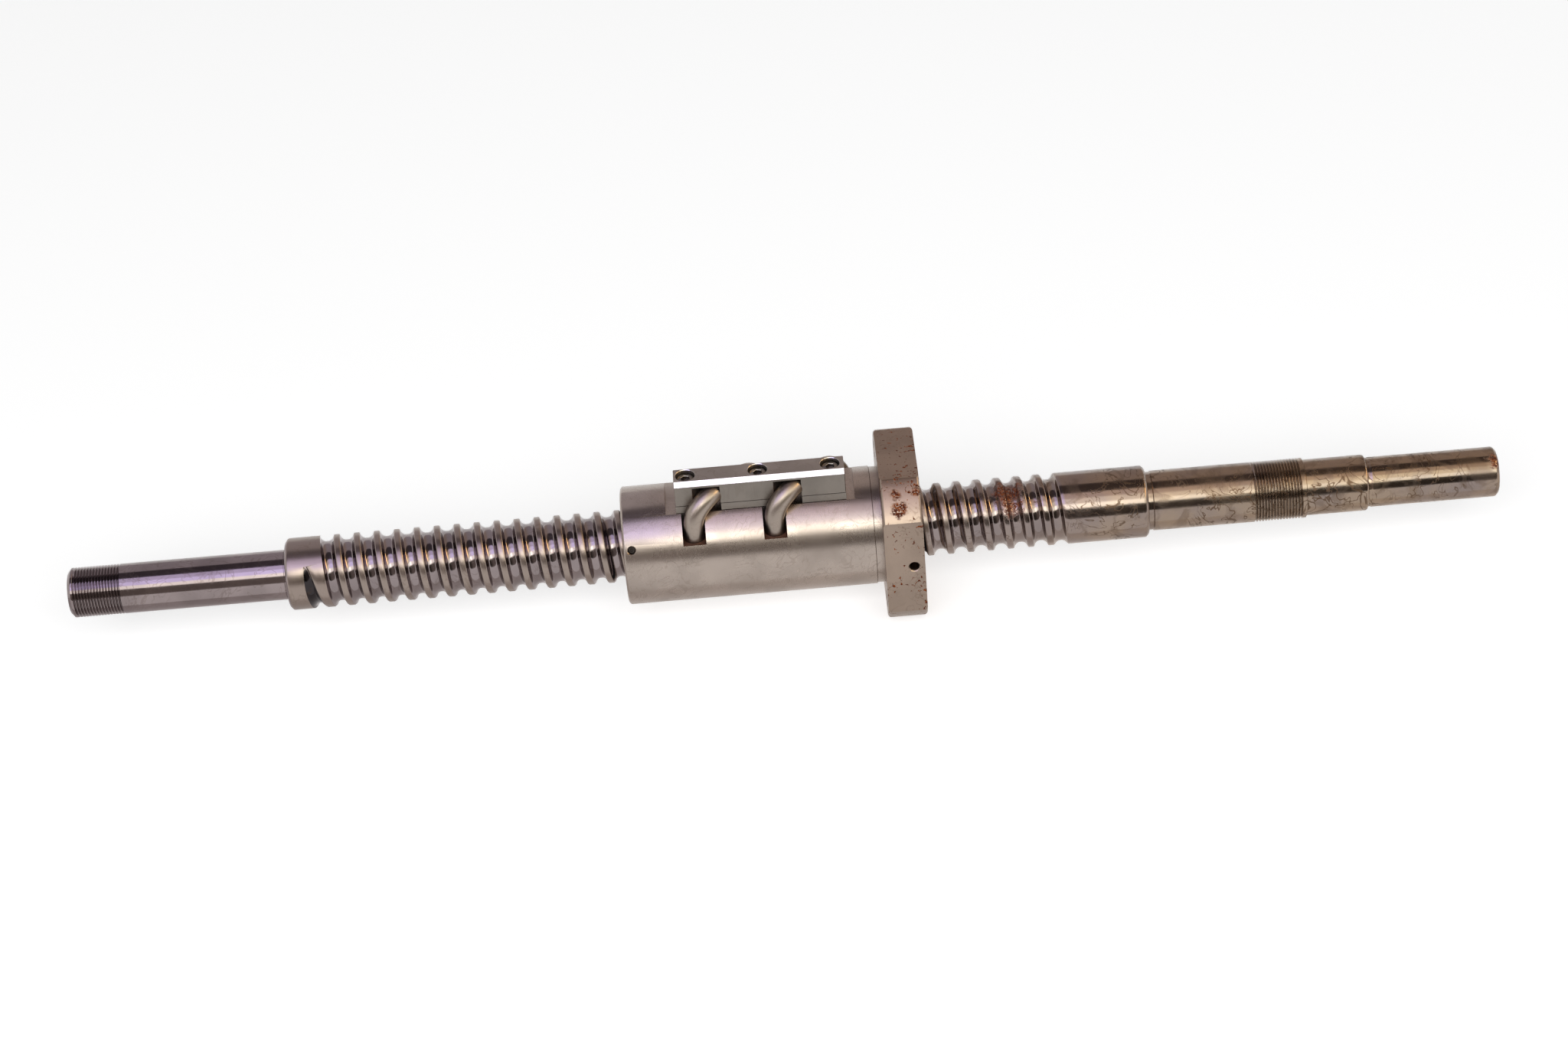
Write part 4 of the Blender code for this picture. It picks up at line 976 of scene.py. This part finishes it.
# Rust spots: a place on the surface and a radius
SHAFT_RUST = [((0.4690, -0.0060, 0.0170), 0.0105), ((0.4710, -0.0125, 0.0129), 0.0075),
              ((0.4815, -0.0116, 0.0138), 0.0042), ((0.712, -0.006, 0.0110), 0.005)]
FLANGE_RUST = [((0.4128, -0.0291, 0.0369), 0.0035), ((0.4142, -0.0345, 0.0319), 0.005),
               ((0.4228, -0.0282, 0.0376), 0.003)]

SHAFT_STEEL = steel("polished_screw_steel", (0.285, 0.235, 0.232), 0.12, 0.10, stain=0.95,
                    stain_by_length=(0.40, 0.56), warm=(0.30, 0.228, 0.172), specks=0.16,
                    shaft=True, rust_spots=SHAFT_RUST)
NUT_STEEL = steel("satin_nut_steel", (0.39, 0.328, 0.288), 0.27, 0.08, stain=0.18, specks=0.10,
                  blotchy=0.20, stain_colour=(0.12, 0.11, 0.085))
FLANGE_STEEL = steel("flange_steel", (0.315, 0.243, 0.195), 0.31, 0.12, stain=0.25, specks=0.74,
                     bump=0.10, rust_spots=FLANGE_RUST)
TUBE_STEEL = steel("tube_steel", (0.34, 0.285, 0.245), 0.34, 0.10, stain=0.1, bump=0.01)
CLAMP_STEEL = steel("milled_clamp_steel", (0.33, 0.295, 0.270), 0.34, 0.20, stain=0.2, bump=0.05)
# Painted shade: a darker copy of the clamp steel for the bar's front and back faces and for the
# pads under the bar
CLAMP_SHADE_STEEL = steel("clamp_painted_shade_steel", (0.22, 0.195, 0.172), 0.36, 0.20, stain=0.1,
                          bump=0.05)
# Painted highlight: a far lighter steel on the clamp bar's upper bevels
BEVEL_HIGHLIGHT_STEEL = steel("bevel_painted_highlight_steel", (0.80, 0.78, 0.74), 0.28, 0.16, stain=0.1, bump=0.03)
SCREW_STEEL = plain("clamp_screw_steel", (0.24, 0.215, 0.20), 0.26, 1.0)
POCKET_RUST = plain("rusty_pocket_steel", (0.10, 0.040, 0.022), 0.62, 0.25, scale=500.0)
# Painted shade: near black for the pockets' walls and the recessed set screw
POCKET_SHADE_STEEL = plain("pocket_painted_shade_steel", (0.055, 0.045, 0.04), 0.40, 0.8)
BALL_STEEL = plain("ball_steel", (0.72, 0.72, 0.74), 0.08, 1.0, 0.04)
WIPER_PLASTIC = plain("wiper_plastic", (0.035, 0.035, 0.04), 0.60, 0.0)


# Build the visible pieces. paint's numbers count in the list of the piece's materials.

finish(piece_of("screw_body", screw_solid()), "screw", [SHAFT_STEEL],
       ["screw_shaft"], sharp=40.0)

nut = nut_piece()
finish(nut, "nut", [NUT_STEEL, FLANGE_STEEL, POCKET_RUST, POCKET_SHADE_STEEL], ["ball_nut"])
centres = face_data(nut.data)[0]
x, z = centres[:, 0], centres[:, 2]
radius = np.hypot(centres[:, 1], z)
paint(nut, 1, x > FLANGE_FACE - 0.5 * MM)
# Faces of the milled pockets: the floors get rust and the walls painted shade
in_pocket = (x > FLAT_LEFT) & (x < FLAT_RIGHT) & (z > 11 * MM) & (z < FLAT_HEIGHT - 0.1 * MM)
in_pocket &= (radius > NUT_BORE_RADIUS + 0.3 * MM) & (radius < NUT_RADIUS - 0.2 * MM)
paint(nut, 3, in_pocket)
paint(nut, 2, in_pocket & (z < POCKET_FLOOR + 0.3 * MM))

bar = bar_piece()
finish(bar, "nut", [CLAMP_STEEL, BEVEL_HIGHLIGHT_STEEL, CLAMP_SHADE_STEEL], ["clamp_bar"])
normals = face_data(bar.data)[1]
across = np.abs(normals[:, 1])
# Painted highlight on the bevels: the faces turned up and to the front or back
paint(bar, 1, (across > 0.6) & (normals[:, 2] > 0.6))
# Painted shade on the bar's faces that look to the front and back
paint(bar, 2, across > 0.9)
for number in (1, 2, 3):
    # The pads under the bar take the painted shade as well
    finish(pad_piece(number), "nut", [CLAMP_SHADE_STEEL], [f"clamp_pad_{number}"])
    finish(cap_screw(number), "nut", [SCREW_STEEL], [f"clamp_screw_{number}"])
for number, leg in enumerate(FRONT_LEGS, 1):
    skin = np.concatenate([tube_circles(leg, TUBE_RADIUS),
                           tube_circles(leg, TUBE_BORE_RADIUS)[::-1]])
    finish(piece_of(f"tube_{number}", loft(skin, cyclic=True)), "nut", [TUBE_STEEL],
           [f"return_tube_{number}"])
# The recessed set screw is painted near black as shade
finish(set_screw(), "nut", [POCKET_SHADE_STEEL], ["wiper_set_screw"])
finish(wiper_piece("left_wiper_ring", 278.2 * MM, 7.0 * MM), "nut",
       [WIPER_PLASTIC], ["wiper_left"])
finish(wiper_piece("right_wiper_ring", 417.3 * MM, 5.0 * MM), "wiper_carrier",
       [WIPER_PLASTIC], ["wiper_right"])
retainer = turned_ring([(422.6 * MM, 19.8 * MM), (423.8 * MM, 19.8 * MM), (423.8 * MM, 22.9 * MM),
                        (422.6 * MM, 22.9 * MM)], mouth=math.radians(40))
finish(piece_of("retaining_ring", retainer), "nut", [SCREW_STEEL],
       ["wiper_retainer"])
for name, node in frame["nodes"].items():
    if name.startswith("ball_") and name != "ball_nut":
        for slot in node.material_slots:
            slot.material = BALL_STEEL


# Stage, light and camera

FLOOR_HEIGHT = -0.0425
CAMERA_DISTANCE = 1.836
CAMERA_ELEVATION = math.radians(35.5)
AXIS_TILT = math.radians(4.89)
LENS = 84.4
AIM_STATION = 0.3572
# The screw's axis passes this far below the picture's middle, at 0.3825 mm a pixel
AXIS_BELOW_CENTRE = 12.3 * 0.3825 * MM
STAGE_MIDDLE = Vector((0.36, 0, 0))
CARD_DISTANCE = 1.3
CARD_LENGTH = 3.2
CARD_LEFT = -0.05
CARD_RIGHT = 0.85
# Cards along the screw: name, lower and upper elevation in degrees, light at the left and at
# the right, and how many times stronger it is before the nut
CARDS = [
    ("front_card", -12.0, 30.5, (0.26, 0.22, 0.20), (0.06, 0.05, 0.04), 1.0),
    ("white_card", 30.5, 45.0, (2.9, 2.9, 2.75), (2.9, 3.0, 2.7), 1.8),
    ("lavender_card", 45.0, 62.0, (2.1, 2.0, 3.0), (2.1, 2.0, 1.6), 1.0),
    ("mauve_card", 62.0, 80.0, (1.4, 1.3, 1.9), (1.15, 0.95, 0.75), 1.0),
    ("overhead_card", 80.0, 112.0, (0.10, 0.085, 0.10), (0.09, 0.07, 0.065), 1.0),
    ("back_card", 112.0, 165.0, (0.58, 0.54, 0.58), (0.56, 0.46, 0.40), 1.0),
]


def place_camera():
    """The camera, rolled so that the screw rises to the right as in the photograph."""
    away = Vector((0, -math.cos(CAMERA_ELEVATION), math.sin(CAMERA_ELEVATION)))
    along = Vector((1, 0, 0))
    upright = away.cross(along)
    right = along * math.cos(AXIS_TILT) - upright * math.sin(AXIS_TILT)
    up = along * math.sin(AXIS_TILT) + upright * math.cos(AXIS_TILT)
    position = along * AIM_STATION + away * CAMERA_DISTANCE + up * AXIS_BELOW_CENTRE
    data = bpy.data.cameras.new("camera")
    data.lens = LENS
    data.sensor_width = 36.0
    data.clip_end = 50.0
    camera = bpy.data.objects.new("camera", data)
    camera.matrix_world = Matrix.Translation(position) @ Matrix(
        (right, up, away)).transposed().to_4x4()
    bpy.context.collection.objects.link(camera)
    bpy.context.scene.camera = camera


def card(name, low, high, left, right, peak):
    """A long card that only reflections see, between two elevations seen from the screw's axis.

    0 is level at the front, 90 degrees is overhead and 180 is level behind.
    """
    middle = math.radians((low + high) / 2)
    half = CARD_DISTANCE * math.tan(math.radians(high - low) / 2)
    across = Vector((0, math.sin(middle), math.cos(middle))) * half
    centre = STAGE_MIDDLE + Vector((0, -math.cos(middle), math.sin(middle))) * CARD_DISTANCE
    along = Vector((CARD_LENGTH / 2, 0, 0))
    show_card(name, centre, along, across, left, right, peak)


def stage_plate(name, centre, along, across):
    """A flat plate for the stage, with a material of its own.

    along and across lead from the centre to the middles of two sides.
    """
    mesh = bpy.data.meshes.new(name)
    corners = [centre - along - across, centre + along - across, centre + along + across,
               centre - along + across]
    mesh.from_pydata([tuple(corner) for corner in corners], [], [(0, 1, 2, 3)])
    plate = bpy.data.objects.new(name, mesh)
    bpy.context.collection.objects.link(plate)
    material, n, main = shader(name)
    mesh.materials.append(material)
    return plate, n, main


def show_card(name, centre, along, across, left, right, peak=1.0):
    """A glowing plate that only reflections see.

    Its light changes from left to right along X and is peak times stronger before the nut.
    """
    plate, n, _ = stage_plate(name, centre, along, across)
    x = n.add("ShaderNodeSeparateXYZ", Vector=n.object_point()).outputs["X"]
    colour = n.mix(n.ramp(x, CARD_LEFT, CARD_RIGHT), opaque(left), opaque(right))
    from_nut = n.math("ABSOLUTE", n.minus(x, STAGE_MIDDLE.x))
    glow = n.add("ShaderNodeEmission", Color=colour,
                 Strength=n.ramp(from_nut, 0.10, 0.45, peak, 1.0))
    n.set(n.tree.nodes["Material Output"], "Surface", glow.outputs[0])
    plate.visible_camera = False
    plate.visible_diffuse = False
    plate.visible_shadow = False
    plate.visible_transmission = False


def warm_card():
    """A small warm card to the right, which gives the tubes and grooves their gold glints."""
    centre = Vector((1.80, -0.34, 1.38))
    inward = (STAGE_MIDDLE - centre).normalized()
    along = inward.cross(Vector((0, 0, 1))).normalized()
    across = along.cross(inward).normalized()
    light = (7.0, 4.6, 2.0)
    show_card("warm_card", centre, along * 0.95, across * 0.55, light, light)


def under_card():
    """A grey strip on the floor that only reflections see: the object's own shade."""
    centre = Vector((0.40, -0.0065, FLOOR_HEIGHT + 0.3 * MM))
    show_card("under_card", centre, Vector((0.55, 0, 0)), Vector((0, 0.0365, 0)),
              (0.64, 0.60, 0.60), (0.98, 0.91, 0.84))


def soft_lamp():
    """One broad lamp above and in front, for the soft shadow and for what isn't metal."""
    data = bpy.data.lights.new("soft_lamp", "AREA")
    data.shape = "RECTANGLE"
    data.size = 3.8
    data.size_y = 1.9
    data.energy = 87.0
    light = bpy.data.objects.new("soft_lamp", data)
    position = Vector((0.30, -2.59, 1.92))
    turn = (STAGE_MIDDLE - position).normalized().to_track_quat("-Z", "Y")
    light.matrix_world = Matrix.Translation(position) @ turn.to_matrix().to_4x4()
    light.visible_camera = False
    light.visible_glossy = False
    bpy.context.collection.objects.link(light)


def seen_directly(n):
    """1 for camera, glossy and transmission rays."""
    path = n.add("ShaderNodeLightPath")
    return n.most(path.outputs["Is Camera Ray"],
                  n.most(path.outputs["Is Glossy Ray"], path.outputs["Is Transmission Ray"]))


def floor():
    """A pale floor that keeps the object's shadow."""
    _, n, main = stage_plate("floor", Vector((0, 0, FLOOR_HEIGHT)), Vector((12, 0, 0)),
                             Vector((0, 12, 0)))
    n.set(main, "Base Color", (0.80, 0.80, 0.80, 1.0))
    n.set(main, "Roughness", 1.0)
    n.set(main, "Specular IOR Level", 0.0)
    n.set(main, "Emission Color", (1.0, 1.0, 1.0, 1.0))
    n.set(main, "Emission Strength", n.times(seen_directly(n), 0.60))


def world():
    """White where it is seen, and a softer light on the object."""
    sky = bpy.data.worlds.new("studio")
    sky.use_nodes = True
    n = Nodes(sky.node_tree)
    background = sky.node_tree.nodes["Background"]
    n.set(background, "Color", (1.0, 1.0, 1.0, 1.0))
    n.set(background, "Strength", n.ramp(seen_directly(n), 0.0, 1.0, 0.16, 1.0))
    bpy.context.scene.world = sky


place_camera()
floor()
world()
soft_lamp()
for values in CARDS:
    card(*values)
under_card()
warm_card()
bpy.context.scene.view_settings.view_transform = "Standard"
